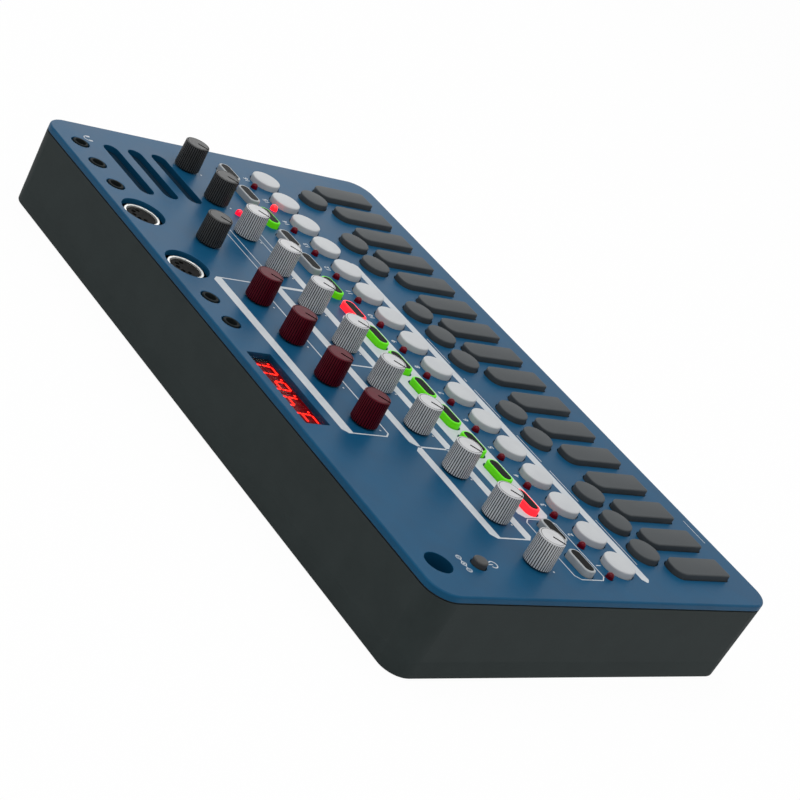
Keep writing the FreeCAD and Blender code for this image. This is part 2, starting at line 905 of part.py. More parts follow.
def make_lamp_master():
    """One lamp at the origin: a barrel that stands on the board, drawn in at the top."""
    lamp = new_body("lamp")
    top = panel_top + s.lamp_proud
    barrel = new_sketch(lamp, s.board_top)
    regular(barrel, length(0), length(0), s.lamp_radius, s.lamp_sides)
    pad(lamp, barrel, top - s.board_top)
    break_edges(lamp, level_edges(lamp.Shape, top), s.lamp_dome)
    return lamp


def make_status_leds():
    """A row of lamps, one over each step button, and one lamp that stands alone."""
    lamp = make_lamp_master()
    lamps = []
    for index in range(columns):
        place = column(index) + s.lamp_offset
        lamps.append(assembled("lamp_%d" % (index + 1), [lamp], place, s.lamp_row))
    lamps.append(assembled("free_lamp", [lamp], s.free_lamp_x, s.free_lamp_y))
    return assembled("status_leds", lamps)


def make_speaker():
    """A round loudspeaker under the grille: flange, cone, basket and magnet."""
    body = new_body("speaker")
    level = panel_under
    steps = (
        (s.speaker_radius, s.speaker_flange),
        (s.basket_radius, s.basket_height),
        (s.magnet_radius, s.magnet_height))
    for radius, height in steps:
        sketch = new_sketch(body, level)
        regular(sketch, s.speaker_x, s.speaker_y, radius, s.speaker_sides)
        pad(body, sketch, height, down=True)
        level = level - height
    cone = new_sketch(body, panel_under)
    regular(cone, s.speaker_x, s.speaker_y, s.cone_radius, s.speaker_sides)
    pocket(body, cone, s.cone_deep)
    return body


def make_display_module():
    """The four-digit display, standing on the lower board under its window."""
    body = new_body("display_module")
    sketch = new_sketch(body, s.socket_board_top)
    middle_x = s.window_left + s.window_width / 2
    middle_y = s.window_front + s.window_depth / 2
    box_at(sketch, middle_x, middle_y, s.window_width + s.display_frame * 2, s.display_depth)
    pad(body, sketch, panel_under - s.socket_board_top)
    return body


def make_display_window():
    """The clear pane in the panel, lying on the display and sunk a little."""
    made = doc.addObject("Part::Box", "display_window")
    made.Label = "display_window"
    made.setExpression("Length", (s.window_width - s.window_fit * 2).text)
    made.setExpression("Width", (s.window_depth - s.window_fit * 2).text)
    made.setExpression("Height", s.window_thick.text)
    made.setExpression("Placement.Base.x", (s.window_left + s.window_fit).text)
    made.setExpression("Placement.Base.y", (s.window_front + s.window_fit).text)
    made.setExpression("Placement.Base.z", panel_under.text)
    return made


def make_jack_sockets():
    """Five 3.5 mm jack sockets and the power jack, on the lower board."""
    body = new_body("jack_sockets")
    bodies = new_sketch(body, s.socket_board_top)
    barrels = new_sketch(body, panel_under)
    leads = new_sketch(body, panel_top + s.jack_proud)
    bores = new_sketch(body, panel_under)
    for x in jack_places:
        box_at(bodies, x, s.socket_row, s.jack_body, s.jack_body)
        regular(barrels, x, s.socket_row, s.jack_barrel, s.jack_sides)
        regular(leads, x, s.socket_row, s.jack_lead, s.jack_sides)
        circle(bores, x, s.socket_row, s.jack_bore)
    pad(body, bodies, panel_under - s.socket_board_top)
    pad(body, barrels, s.panel_thick + s.jack_proud)
    pocket(body, leads, s.panel_thick + s.jack_proud)
    pocket(body, bores, s.jack_bore_deep)

    sides = s.power_jack_sides
    shell = new_sketch(body, s.socket_board_top)
    outer = s.power_well_radius + s.power_well_wall
    regular(shell, s.power_well_x, s.power_well_y, outer, sides)
    pad(body, shell, well_under - s.socket_board_top)
    plug = new_sketch(body, well_under)
    regular(plug, s.power_well_x, s.power_well_y, s.power_plug_radius, sides)
    pocket(body, plug, s.power_plug_deep)
    pin = new_sketch(body, well_under - s.power_plug_deep)
    regular(pin, s.power_well_x, s.power_well_y, s.power_pin_radius, s.pin_sides)
    pad(body, pin, s.power_plug_deep)
    return body


def make_midi_sockets():
    """Two five-pin DIN sockets: body, round shield, and an insert with its holes."""
    body = new_body("midi_sockets")
    sides = s.midi_sides
    face = panel_top - s.midi_sunk
    neck_under = panel_under - s.midi_neck
    bodies = new_sketch(body, s.socket_board_top)
    necks = new_sketch(body, neck_under)
    grooves = new_sketch(body, face)
    pin_holes = new_sketch(body, face)
    pin_step = 180 / (whole(s.midi_pin_count) - 1)
    for x in midi_places:
        box_at(bodies, x, s.midi_row, s.midi_body, s.midi_body)
        regular(necks, x, s.midi_row, s.midi_shield, sides)
        regular(grooves, x, s.midi_row, s.midi_shield - s.midi_shield_wall, sides)
        regular(grooves, x, s.midi_row, s.midi_insert, sides)
        for index in range(whole(s.midi_pin_count)):
            angle = math.radians(index * pin_step)
            pin_x = x + s.midi_pin_ring * math.cos(angle)
            pin_y = s.midi_row + s.midi_pin_ring * math.sin(angle)
            regular(pin_holes, pin_x, pin_y, s.midi_pin_hole, s.pin_sides)
    pad(body, bodies, neck_under - s.socket_board_top)
    pad(body, necks, face - neck_under)
    pocket(body, grooves, s.midi_groove)
    pocket(body, pin_holes, s.midi_groove)
    return body


# Knobs, keys and buttons

def knob_outline(sketch, radius):
    """A fluted outline: a point and a valley for each flute."""
    count = whole(s.flute_count)
    points = []
    for index in range(count):
        peak = 2 * math.pi * index / count
        valley = peak + math.pi / count
        points.append((radius * math.cos(peak), radius * math.sin(peak)))
        inner = radius - s.flute_depth
        points.append((inner * math.cos(valley), inner * math.sin(valley)))
    polygon(sketch, points)


def make_knob_master():
    """The cap with its pointer groove along x, and the shaft that it sits on."""
    cap = new_body("knob_cap")
    fluted = new_sketch(cap, knob_under)
    knob_outline(fluted, s.knob_base_radius)
    pad(cap, fluted, s.knob_height)
    lean_walls(cap, knob_under, knob_under, s.knob_draft)
    groove = new_sketch(cap, knob_under + s.knob_height)
    box_at(groove, s.knob_base_radius / 2, length(0), s.knob_base_radius, s.pointer_width)
    pocket(cap, groove, s.pointer_deep)

    shaft = new_body("knob_shaft")
    section = new_sketch(shaft, pot_top)
    regular(section, length(0), length(0), s.shaft_radius, s.shaft_sides)
    pad(shaft, section, knob_under - pot_top)
    return [cap, shaft]


def make_knobs():
    """Every knob, turned to the start of its scale."""
    master = make_knob_master()
    made = []
    for index in range(whole(s.front_knob_count)):
        grey = whole(s.grey_knob_count)
        name = "grey_knob_%d" % (index + 1) if index < grey else "black_knob_%d" % (index - grey + 1)
        made.append(assembled(name, master, knob_column(index), s.front_knob_row, s.pointer_angle))
    for index in range(whole(s.red_knob_count)):
        name = "red_knob_%d" % (index + 1)
        made.append(assembled(name, master, red_knob_column(index), s.rear_knob_row, s.pointer_angle))
    made.append(assembled("volume_knob", master, s.volume_x, s.rear_knob_row, s.pointer_angle))
    return made


def add_wings(body, x, y, width, depth):
    """The flange that stops a key under the panel."""
    wings = new_sketch(body, panel_under)
    box_at(wings, x, y, width, depth)
    return pad(body, wings, s.wing_thick, down=True)


def make_long_keys():
    """Sixteen long keys: rounded at the rear, nearly square at the front."""
    key = new_body("long_key")
    cap = new_sketch(key, panel_under)
    polygon(cap, long_key_outline(length(0), length(0), length(0)))
    pad(key, cap, s.panel_thick + s.key_height)
    add_wings(key, length(0), s.key_length / 2, s.key_width + s.wing_reach * 2,
              s.key_length - s.key_rear_round * 2)
    return [assembled("long_key_%02d" % (index + 1), [key], column(index), s.key_front)
            for index in range(columns)]


def make_round_keys():
    """Eleven round keys between the long ones."""
    key = new_body("round_key")
    cap = new_sketch(key, panel_under)
    regular(cap, length(0), length(0), s.round_key_radius, s.control_sides)
    pad(key, cap, s.panel_thick + s.key_height)
    across = (s.round_key_radius + s.wing_reach) * 2
    add_wings(key, length(0), length(0), across, across)
    return [assembled("round_key_%02d" % (order + 1), [key], column(index - 0.5), s.round_key_row)
            for order, index in enumerate(ROUND_KEY_AFTER)]


def make_step_buttons():
    """Sixteen round step buttons."""
    body = new_body("step_buttons")
    cap = new_sketch(body, panel_under)
    regular(cap, column(0), s.step_row, s.step_radius, s.control_sides)
    caps = pad(body, cap, s.panel_thick + s.step_height)
    in_row(body, caps, s.column_count, s.pitch)
    across = (s.step_radius + s.wing_reach) * 2
    wings = add_wings(body, column(0), s.step_row, across, across)
    in_row(body, wings, s.column_count, s.pitch)
    return body


def make_function_buttons():
    """Sixteen flat function buttons with round ends."""
    body = new_body("function_buttons")
    cap = new_sketch(body, panel_under)
    polygon(cap, function_outline(column(0), s.function_row, length(0)))
    caps = pad(body, cap, s.panel_thick + s.function_height)
    in_row(body, caps, s.column_count, s.pitch)
    wings = add_wings(body, column(0), s.function_row, s.function_width + s.wing_reach * 2,
                      s.function_depth + s.wing_reach * 2)
    in_row(body, wings, s.column_count, s.pitch)
    return body


def make_power_button():
    """The small round power button."""
    body = new_body("power_button")
    cap = new_sketch(body, panel_under)
    regular(cap, s.power_x, s.power_y, s.power_radius, s.control_sides)
    pad(body, cap, s.panel_thick + s.power_height)
    add_wings(body, s.power_x, s.power_y, (s.power_radius + s.wing_reach) * 2,
              (s.power_radius + s.wing_reach) * 2)
    return body


pieces = [
    make_top_cover(),
    make_bottom_case(),
    make_battery_door(),
    make_rubber_feet(),
    make_case_screws(),
    make_circuit_boards(),
    make_contact_strips(),
    make_potentiometers(),
    make_status_leds(),
    make_speaker(),
    make_display_module(),
    make_display_window(),
    make_jack_sockets(),
    make_midi_sockets(),
    make_step_buttons(),
    make_function_buttons(),
    make_power_button(),
]
pieces += make_knobs() + make_long_keys() + make_round_keys()

doc.recompute()
for thing in doc.Objects:
    if "Invalid" in thing.State or "Error" in thing.State:
        raise ValueError("%s did not compute: %s" % (thing.Label, thing.State))
for piece in pieces:
    if piece.Shape.isNull() or not piece.Shape.isValid():
        raise ValueError("%s has no valid shape" % piece.Label)

os.makedirs("parts", exist_ok=True)
for piece in pieces:
    piece.Shape.exportStep("parts/%s.step" % piece.Label)
print("%d pieces written" % len(pieces))
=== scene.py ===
import math

import bmesh
import bpy
from mathutils import Matrix, Vector
from mathutils.geometry import tessellate_polygon


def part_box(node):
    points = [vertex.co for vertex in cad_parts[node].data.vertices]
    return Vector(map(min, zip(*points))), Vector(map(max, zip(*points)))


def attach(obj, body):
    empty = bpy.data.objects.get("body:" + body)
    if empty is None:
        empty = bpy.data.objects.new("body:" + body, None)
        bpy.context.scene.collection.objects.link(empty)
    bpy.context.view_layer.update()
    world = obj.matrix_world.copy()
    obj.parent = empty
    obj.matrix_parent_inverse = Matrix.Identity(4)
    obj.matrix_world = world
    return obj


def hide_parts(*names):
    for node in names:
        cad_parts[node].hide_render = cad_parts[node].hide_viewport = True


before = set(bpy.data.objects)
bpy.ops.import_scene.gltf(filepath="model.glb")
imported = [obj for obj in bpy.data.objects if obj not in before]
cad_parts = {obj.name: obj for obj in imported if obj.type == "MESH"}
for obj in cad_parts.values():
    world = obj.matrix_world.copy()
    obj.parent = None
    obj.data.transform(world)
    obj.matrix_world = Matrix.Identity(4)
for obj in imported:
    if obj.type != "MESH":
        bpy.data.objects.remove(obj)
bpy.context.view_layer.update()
knobs = sorted(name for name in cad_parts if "knob" in name)

# Sizes in millimetres, in the frame's own axes: x to the player's right, y to the rear, z up
MM = 0.001
HALF_WIDTH = 148.5
HALF_DEPTH = 88.0
TUB_FLOOR = 1.1  # the underside of the tub
BOARD = 19.6  # the face of the socket board
INSIDE = 33.0  # the hidden foot of every cap
SEAM = 33.2  # where the cover meets the tub
UNDER = 33.8  # the lower face of the panel
PANEL = 36.2  # the upper face of the panel
COLUMNS = 16
PITCH = 17.08
FIRST_COLUMN = -129.3
POINTER = math.radians(217.7)  # where every knob points at rest


def column(index):
    """The x of a column of buttons, counted from 0 at the left."""
    return FIRST_COLUMN + PITCH * index


def middle(node):
    """The x and y of a CAD node's middle, in millimetres."""
    low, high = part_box(node)
    return (low.x + high.x) / 2 / MM, (low.y + high.y) / 2 / MM


# Finishes

PATCH_EDGES = (0.35, 0.65)
PATCH_DETAIL = 3.0
GRAIN_DETAIL = 2.0
BUMP_STRENGTH = 0.6
SMOOTHEST = 0.02


def tone(screen):
    """A colour as it looks on a screen, 0 to 255, in the shader's linear values."""
    linear = []
    for value in screen:
        value /= 255
        linear.append(value / 12.92 if value <= 0.04045 else ((value + 0.055) / 1.055) ** 2.4)
    return (*linear, 1.0)


def finish(name, colour, other, rough, spread=0.05, grain=0.4, depth=0.01, patch=14.0,
           specular=0.5, metallic=0.0, alpha=1.0, glow=None, power=0.0):
    """A moulded or painted surface: two close colours in soft patches, uneven gloss, fine grain.

    Colours are as on a screen. The roughness lies within spread of rough. In millimetres, patch
    is the size of the patches, grain that of the texture and depth its height."""
    made = bpy.data.materials.new(name)
    made.use_nodes = True
    nodes = made.node_tree.nodes
    link = made.node_tree.links.new
    shader = nodes["Principled BSDF"]
    place = nodes.new("ShaderNodeTexCoord")

    patches = nodes.new("ShaderNodeTexNoise")
    patches.inputs["Scale"].default_value = 1 / (patch * MM)
    patches.inputs["Detail"].default_value = PATCH_DETAIL
    link(place.outputs["Object"], patches.inputs["Vector"])
    colours = nodes.new("ShaderNodeValToRGB")
    for stop, position, value in zip(colours.color_ramp.elements, PATCH_EDGES, (colour, other)):
        stop.position = position
        stop.color = tone(value)
    link(patches.outputs["Fac"], colours.inputs["Fac"])
    link(colours.outputs["Color"], shader.inputs["Base Color"])

    gloss = nodes.new("ShaderNodeMapRange")
    gloss.inputs["To Min"].default_value = max(rough - spread, SMOOTHEST)
    gloss.inputs["To Max"].default_value = min(rough + spread, 1.0)
    link(patches.outputs["Fac"], gloss.inputs["Value"])
    link(gloss.outputs["Result"], shader.inputs["Roughness"])

    texture = nodes.new("ShaderNodeTexNoise")
    texture.inputs["Scale"].default_value = 1 / (grain * MM)
    texture.inputs["Detail"].default_value = GRAIN_DETAIL
    link(place.outputs["Object"], texture.inputs["Vector"])
    bump = nodes.new("ShaderNodeBump")
    bump.inputs["Distance"].default_value = depth * MM
    bump.inputs["Strength"].default_value = BUMP_STRENGTH
    link(texture.outputs["Fac"], bump.inputs["Height"])
    link(bump.outputs["Normal"], shader.inputs["Normal"])

    shader.inputs["Specular IOR Level"].default_value = specular
    shader.inputs["Metallic"].default_value = metallic
    shader.inputs["Alpha"].default_value = alpha
    if glow:
        shader.inputs["Emission Color"].default_value = tone(glow)
        shader.inputs["Emission Strength"].default_value = power
    return made


blue_plastic = finish(
    "blue_plastic", (12, 72, 106), (15, 77, 112), rough=0.4, grain=0.35, depth=0.012, specular=0.1)
tub_plastic = finish(
    "tub_plastic", (45, 52, 52), (49, 56, 56), rough=0.62, spread=0.06, grain=0.5, depth=0.03,
    specular=0.08)
key_rubber = finish(
    "key_rubber", (50, 55, 58), (55, 60, 63), rough=0.58, spread=0.06, grain=0.3, depth=0.015,
    patch=9.0, specular=0.36)
white_plastic = finish(
    "white_plastic", (188, 191, 194), (194, 197, 199), rough=0.45, depth=0.008, patch=9.0,
    specular=0.25)
pale_plastic = finish(
    "pale_plastic", (158, 163, 166), (170, 175, 177), rough=0.4, depth=0.008, patch=5.0,
    specular=0.3)
grey_plastic = finish(
    "grey_plastic", (196, 197, 199), (204, 205, 206), rough=0.42, grain=0.35, patch=7.0,
    specular=0.25)
# The darker groove finishes paint the shade that falls in the knobs' real grooves
grey_groove_shade = finish(
    "grey_groove_shade", (40, 41, 42), (48, 49, 50), rough=0.7, grain=0.35, patch=7.0, specular=0.1)
red_plastic = finish(
    "red_plastic", (78, 6, 22), (88, 8, 27), rough=0.42, grain=0.35, patch=7.0, specular=0.11)
red_groove_shade = finish(
    "red_groove_shade", (20, 2, 6), (26, 3, 8), rough=0.7, grain=0.35, patch=7.0, specular=0.05)
black_plastic = finish(
    "black_plastic", (54, 55, 55), (61, 62, 62), rough=0.45, spread=0.06, grain=0.35, depth=0.012,
    patch=7.0, specular=0.3)
black_groove_shade = finish(
    "black_groove_shade", (6, 6, 6), (9, 9, 9), rough=0.8, grain=0.35, patch=7.0, specular=0.02)
# A dark sheet under the speaker's slots: painted shade seen through them
slot_shade_sheet = finish(
    "slot_shade_sheet", (5, 30, 46), (9, 36, 54), rough=0.85, grain=0.5, depth=0.05, patch=6.0,
    specular=0.1)
socket_plastic = finish(
    "socket_plastic", (30, 35, 36), (37, 42, 43), rough=0.6, spread=0.06, patch=4.0, specular=0.03)
insert_plastic = finish(
    "insert_plastic", (19, 20, 20), (34, 33, 32), rough=0.7, spread=0.15, grain=0.5, depth=0.12,
    patch=2.0, specular=0.05)
ink_dark = finish(
    "ink_dark", (12, 13, 13), (18, 19, 19), rough=0.45, grain=0.3, depth=0.004, patch=4.0,
    specular=0.03)
ink_white = finish(
    "ink_white", (192, 198, 203), (200, 205, 209), rough=0.5, grain=0.3, depth=0.006, patch=6.0,
    specular=0.2)
green_lit = finish(
    "green_lit", (84, 196, 12), (96, 208, 18), rough=0.4, depth=0.006, patch=5.0, specular=0.2,
    glow=(90, 214, 4), power=0.26)
red_lit = finish(
    "red_lit", (225, 36, 50), (235, 46, 60), rough=0.4, depth=0.006, patch=5.0, specular=0.2,
    glow=(255, 34, 44), power=1.2)
lamp_dark = finish(
    "lamp_dark", (90, 0, 20), (102, 0, 24), rough=0.12, spread=0.04, grain=0.5, depth=0.002,
    patch=3.0, specular=0.1)
lamp_lit = finish(
    "lamp_lit", (150, 4, 14), (160, 6, 18), rough=0.12, spread=0.04, grain=0.5, depth=0.002,
    patch=3.0, specular=0.35, glow=(255, 14, 20), power=4.5)
lamp_low = finish(
    "lamp_low", (150, 4, 34), (160, 6, 38), rough=0.12, spread=0.04, grain=0.5, depth=0.002,
    patch=3.0, specular=0.35, glow=(235, 8, 44), power=1.4)
digit_lit = finish(
    "digit_lit", (120, 8, 6), (130, 10, 8), rough=0.4, grain=0.5, depth=0.002, patch=3.0,
    specular=0.05, glow=(255, 34, 22), power=3.0)
digit_dim = finish(
    "digit_dim", (84, 2, 6), (96, 4, 8), rough=0.4, grain=0.5, depth=0.002, patch=3.0,
    specular=0.05)
digit_face = finish(
    "digit_face", (70, 0, 4), (84, 0, 6), rough=0.3, grain=0.5, depth=0.004, patch=3.0,
    specular=0.05, glow=(120, 0, 4), power=0.45)
pane_clear = finish(
    "pane_clear", (52, 20, 24), (58, 24, 28), rough=0.06, spread=0.02, grain=2.0, depth=0.0005,
    patch=12.0, specular=0.05, alpha=0.06)
metal_bright = finish(
    "metal_bright", (238, 238, 234), (248, 248, 244), rough=0.35, spread=0.08, grain=0.2,
    depth=0.006, patch=6.0, metallic=0.4)
screw_metal = finish(
    "screw_metal", (88, 88, 90), (104, 104, 106), rough=0.35, spread=0.1, grain=0.2, patch=2.0,
    metallic=1.0)
foot_rubber = finish(
    "foot_rubber", (30, 30, 30), (37, 37, 37), rough=0.85, spread=0.08, grain=0.3, depth=0.03,
    patch=4.0)
board_mask = finish(
    "board_mask", (14, 74, 44), (18, 88, 52), rough=0.35, spread=0.08, grain=0.6, patch=11.0)
strip_rubber = finish(
    "strip_rubber", (150, 150, 148), (162, 162, 160), rough=0.7, spread=0.08, depth=0.02)
pot_metal = finish(
    "pot_metal", (150, 150, 150), (170, 170, 170), rough=0.35, spread=0.1, grain=0.3, patch=5.0,
    metallic=1.0)
cone_paper = finish(
    "cone_paper", (22, 22, 23), (30, 30, 31), rough=0.8, spread=0.08, grain=0.5, depth=0.05,
    patch=3.0)
# A near-black finish that paints the shade in the gap of the seam
seam_shade = finish("seam_shade", (12, 14, 16), (16, 18, 20), rough=0.6)


# Building in loops: a loop is a closed ring of points at one height

SMALLEST_ROUND = 0.02
INK_THICK = 0.03
INK_SUNK = 0.02  # how far the print reaches into the panel


def placed(name, data):
    """A new object in the scene."""
    thing = bpy.data.objects.new(name, data)
    bpy.context.scene.collection.objects.link(thing)
    return thing


def evaluated(thing):
    """A new mesh of an object in its final form, with its modifiers."""
    bpy.context.view_layer.update()
    depsgraph = bpy.context.evaluated_depsgraph_get()
    return bpy.data.meshes.new_from_object(thing.evaluated_get(depsgraph))


class Shape:
    """Gathers walls and faces into one mesh. A coat is one of its finishes, or else the first."""

    def __init__(self, *finishes):
        self.finishes = finishes
        self.points = []
        self.faces = []
        self.coats = []

    def wall(self, loops, coat=None, floor=True, top=True):
        """Quads from each loop to the next, with a cap at either end."""
        coat = coat or self.finishes[0]
        start = len(self.points)
        count = len(loops[0])
        for loop in loops:
            self.points.extend(loop)
        for level in range(len(loops) - 1):
            lower = start + level * count
            for index in range(count):
                following = (index + 1) % count
                self.faces.append((lower + index, lower + following,
                                   lower + count + following, lower + count + index))
                self.coats.append(coat)
        if floor:
            self.faces.append(tuple(range(start + count - 1, start - 1, -1)))
            self.coats.append(coat)
        if top:
            last = start + (len(loops) - 1) * count
            self.faces.append(tuple(range(last, last + count)))
            self.coats.append(coat)

    def face(self, outline, holes=()):
        """A flat face with holes in it."""
        start = len(self.points)
        loops = [outline, *holes]
        for loop in loops:
            self.points.extend(loop)
        flat = [[Vector((x, y, 0)) for x, y, z in loop] for loop in loops]
        for corners in tessellate_polygon(flat):
            self.faces.append(tuple(start + index for index in corners))
            self.coats.append(self.finishes[0])

    def plate(self, outline, holes=()):
        """A thin print on the panel: outline and holes take a height, and give a loop at it."""
        low, top = PANEL - INK_SUNK, PANEL + INK_THICK
        for loop in (outline, *holes):
            self.wall([loop(low), loop(top)], floor=False, top=False)
        self.face(outline(top), [hole(top) for hole in holes])

    def block(self, left, right, front, rear, low, top, corner, steps=2, coat=None, floor=True):
        """A block with round upright corners."""
        self.wall([rounded(left, right, front, rear, z, corner, corner, steps)
                   for z in (low, top)], coat, floor)

    def turned(self, x, y, profile, coat=None, sides=40, floor=True, top=True):
        """A turned shape from its profile of heights and radii."""
        self.wall([ring(x, y, z, radius, sides) for z, radius in profile], coat, floor, top)

    def mesh(self, name):
        """The gathered mesh, in metres."""
        mesh = bpy.data.meshes.new(name)
        mesh.from_pydata([Vector(point) * MM for point in self.points], [], self.faces)
        for material in self.finishes:
            mesh.materials.append(material)
        mesh.polygons.foreach_set("material_index",
                                  [self.finishes.index(coat) for coat in self.coats])
        return mesh

    def made(self, name, body, nodes, slot, sharp=35):
        """The mesh as a piece that rides on a body and stands for CAD nodes."""
        mesh = self.mesh(name)
        mesh.polygons.foreach_set("use_smooth", [True] * len(self.faces))
        mesh.set_sharp_from_angle(angle=math.radians(sharp))
        mesh.validate()
        piece = placed(name, mesh)
        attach(piece, body)
        if nodes:
            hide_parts(*nodes)


def ring(x, y, z, radius, sides):
    """A round loop."""
    turn = 2 * math.pi / sides
    return [(x + radius * math.cos(turn * i), y + radius * math.sin(turn * i), z)
            for i in range(sides)]


def rounded(left, right, front, rear, z, rear_round, front_round, steps=8, inset=0.0):
    """A loop round a rectangle, with one radius for its rear corners and one for the front."""
    loop = []
    places = ((right, rear, rear_round, -1, -1, 0), (left, rear, rear_round, 1, -1, 90),
              (left, front, front_round, 1, 1, 180), (right, front, front_round, -1, 1, 270))
    for x, y, radius, side, end, start in places:
        small = max(radius - inset, SMALLEST_ROUND)
        centre_x = x + (inset + small) * side
        centre_y = y + (inset + small) * end
        for step in range(steps + 1):
            angle = math.radians(start + 90 * step / steps)
            loop.append((centre_x + small * math.cos(angle),
                         centre_y + small * math.sin(angle), z))
    return loop


def soft_edge(outline, low, top, radius, steps=4):
    """Loops up a wall and over a rounded top edge. outline takes a height and an inset."""
    loops = [outline(low, 0.0)]
    for step in range(steps + 1):
        angle = math.radians(90 * step / steps)
        loops.append(outline(top - radius + radius * math.sin(angle),
                             radius * (1 - math.cos(angle))))
    return loops


# Camera, light and floor

CAMERA_PLACE = (-0.5111, 0.5632, 0.3294)
CAMERA_HEADING = -48.61
CAMERA_PITCH = -22.14
CAMERA_ROLL = 30.01
FOCAL_PIXELS = 2114.4
IMAGE_WIDTH = 800
SENSOR = 36.0
WORLD_LIGHT = 0.45
FLOOR_REACH = 4.0
FLOOR_TONE = (0.9, 0.9, 0.9, 1.0)
FLOOR_ROUGH = 0.9
FLOOR_WHITE = 0.97  # the share of plain white where it is seen; the rest shows its shadow
# Name, place, the point it faces, the length of its sides, and power
LIGHTS = (("top_lamp", (-0.1, 0.1, 1.2), (0, 0, 0), 1.2, 9.0),
          ("far_lamp", (0.98, -0.54, 0.41), (0.1, 0, 0.03), 0.6, 1.1))


def make_camera():
    """The photograph's own viewpoint, rolled as the picture is."""
    data = bpy.data.cameras.new("camera")
    data.sensor_width = SENSOR
    data.sensor_fit = "HORIZONTAL"
    data.lens = FOCAL_PIXELS / IMAGE_WIDTH * SENSOR
    data.clip_start = 0.01
    camera = placed("camera", data)
    turn = Matrix.Rotation(math.radians(CAMERA_HEADING - 90), 4, "Z")
    tilt = Matrix.Rotation(math.radians(90 + CAMERA_PITCH), 4, "X")
    roll = Matrix.Rotation(math.radians(CAMERA_ROLL), 4, "Z")
    camera.matrix_world = Matrix.Translation(CAMERA_PLACE) @ turn @ tilt @ roll
    bpy.context.scene.camera = camera


def seen_directly(tree):
    """1 where the camera sees a thing, also in a mirror or through glass."""
    path = tree.nodes.new("ShaderNodeLightPath")
    result = path.outputs["Is Camera Ray"]
    for kind in ("Is Glossy Ray", "Is Transmission Ray"):
        either = tree.nodes.new("ShaderNodeMath")
        either.operation = "MAXIMUM"
        tree.links.new(result, either.inputs[0])
        tree.links.new(path.outputs[kind], either.inputs[1])
        result = either.outputs[0]
    return result


def make_world():
    """A white room: plain white where it is seen, a softer level where it lights the object."""
    world = bpy.data.worlds.new("world")
    bpy.context.scene.world = world
    world.use_nodes = True
    tree = world.node_tree
    tree.nodes.clear()
    link = tree.links.new
    mix = tree.nodes.new("ShaderNodeMixShader")
    link(seen_directly(tree), mix.inputs["Fac"])
    for socket, strength in ((1, WORLD_LIGHT), (2, 1.0)):
        level = tree.nodes.new("ShaderNodeBackground")
        level.inputs["Color"].default_value = (1, 1, 1, 1)
        level.inputs["Strength"].default_value = strength
        link(level.outputs["Background"], mix.inputs[socket])
    out = tree.nodes.new("ShaderNodeOutputWorld")
    link(mix.outputs["Shader"], out.inputs["Surface"])


def make_floor():
    """A wide white floor under the feet, which keeps a faint shadow."""
    mesh = bpy.data.meshes.new("floor")
    mesh.from_pydata([(x * FLOOR_REACH, y * FLOOR_REACH, 0)
                      for x, y in ((-1, -1), (1, -1), (1, 1), (-1, 1))], [], [(0, 1, 2, 3)])
    floor = placed("floor", mesh)
    paper = bpy.data.materials.new("floor_paper")
    paper.use_nodes = True
    tree = paper.node_tree
    link = tree.links.new
    shader = tree.nodes["Principled BSDF"]
    shader.inputs["Base Color"].default_value = FLOOR_TONE
    shader.inputs["Roughness"].default_value = FLOOR_ROUGH
    white = tree.nodes.new("ShaderNodeEmission")
    white.inputs["Strength"].default_value = 1.0
    mix = tree.nodes.new("ShaderNodeMixShader")
    share = tree.nodes.new("ShaderNodeMath")
    share.operation = "MULTIPLY"
    share.inputs[1].default_value = FLOOR_WHITE
    link(seen_directly(tree), share.inputs[0])
    link(share.outputs[0], mix.inputs["Fac"])
    link(shader.outputs["BSDF"], mix.inputs[1])
    link(white.outputs["Emission"], mix.inputs[2])
    link(mix.outputs["Shader"], tree.nodes["Material Output"].inputs["Surface"])
    mesh.materials.append(paper)


def make_light(name, place, target, size, power):
    """A large soft square light that faces a point of the object."""
    data = bpy.data.lights.new(name, "AREA")
    data.shape = "SQUARE"
    data.size = size
    data.energy = power
    away = (Vector(place) - Vector(target)).normalized()
    turn = away.to_track_quat("Z", "Y").to_matrix().to_4x4()
    placed(name, data).matrix_world = Matrix.Translation(place) @ turn


make_camera()
make_world()
make_floor()
for light in LIGHTS:
    make_light(*light)
bpy.context.scene.view_settings.view_transform = "Standard"


# The case and what stays as the CAD made it

CAD_FINISHES = {
    "top_cover": blue_plastic,
    "bottom_case": tub_plastic,
    "battery_door": tub_plastic,
    "rubber_feet": foot_rubber,
    "case_screws": screw_metal,
    "circuit_boards": board_mask,
    "contact_strips": strip_rubber,
    "potentiometers": pot_metal,
    "speaker": cone_paper,
    "display_module": socket_plastic,
    "display_window": pane_clear,
    "jack_sockets": socket_plastic,
    "midi_sockets": socket_plastic,
    "status_leds": lamp_dark,
    "power_button": black_plastic,
    "step_buttons": white_plastic,
    "function_buttons": pale_plastic,
}
# The finish of the cap, and the darker finish of its grooves, which paints the shade that falls in
# them
KNOB_FINISHES = {
    "grey": (grey_plastic, grey_groove_shade),
    "red": (red_plastic, red_groove_shade),
    "black": (black_plastic, black_groove_shade),
}


def knob_kind(name):
    """The colour of a knob. The volume knob is black as well."""
    first = name.split("_")[0]
    return first if first in KNOB_FINISHES else "black"


def dress_cad_nodes():
    """Gives every CAD node its finish, including those that a finer piece stands for."""
    for name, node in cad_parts.items():
        if name in knobs:
            chosen = KNOB_FINISHES[knob_kind(name)][0]
        else:
            chosen = CAD_FINISHES.get(name, key_rubber)
        node.data.materials.clear()
        node.data.materials.append(chosen)


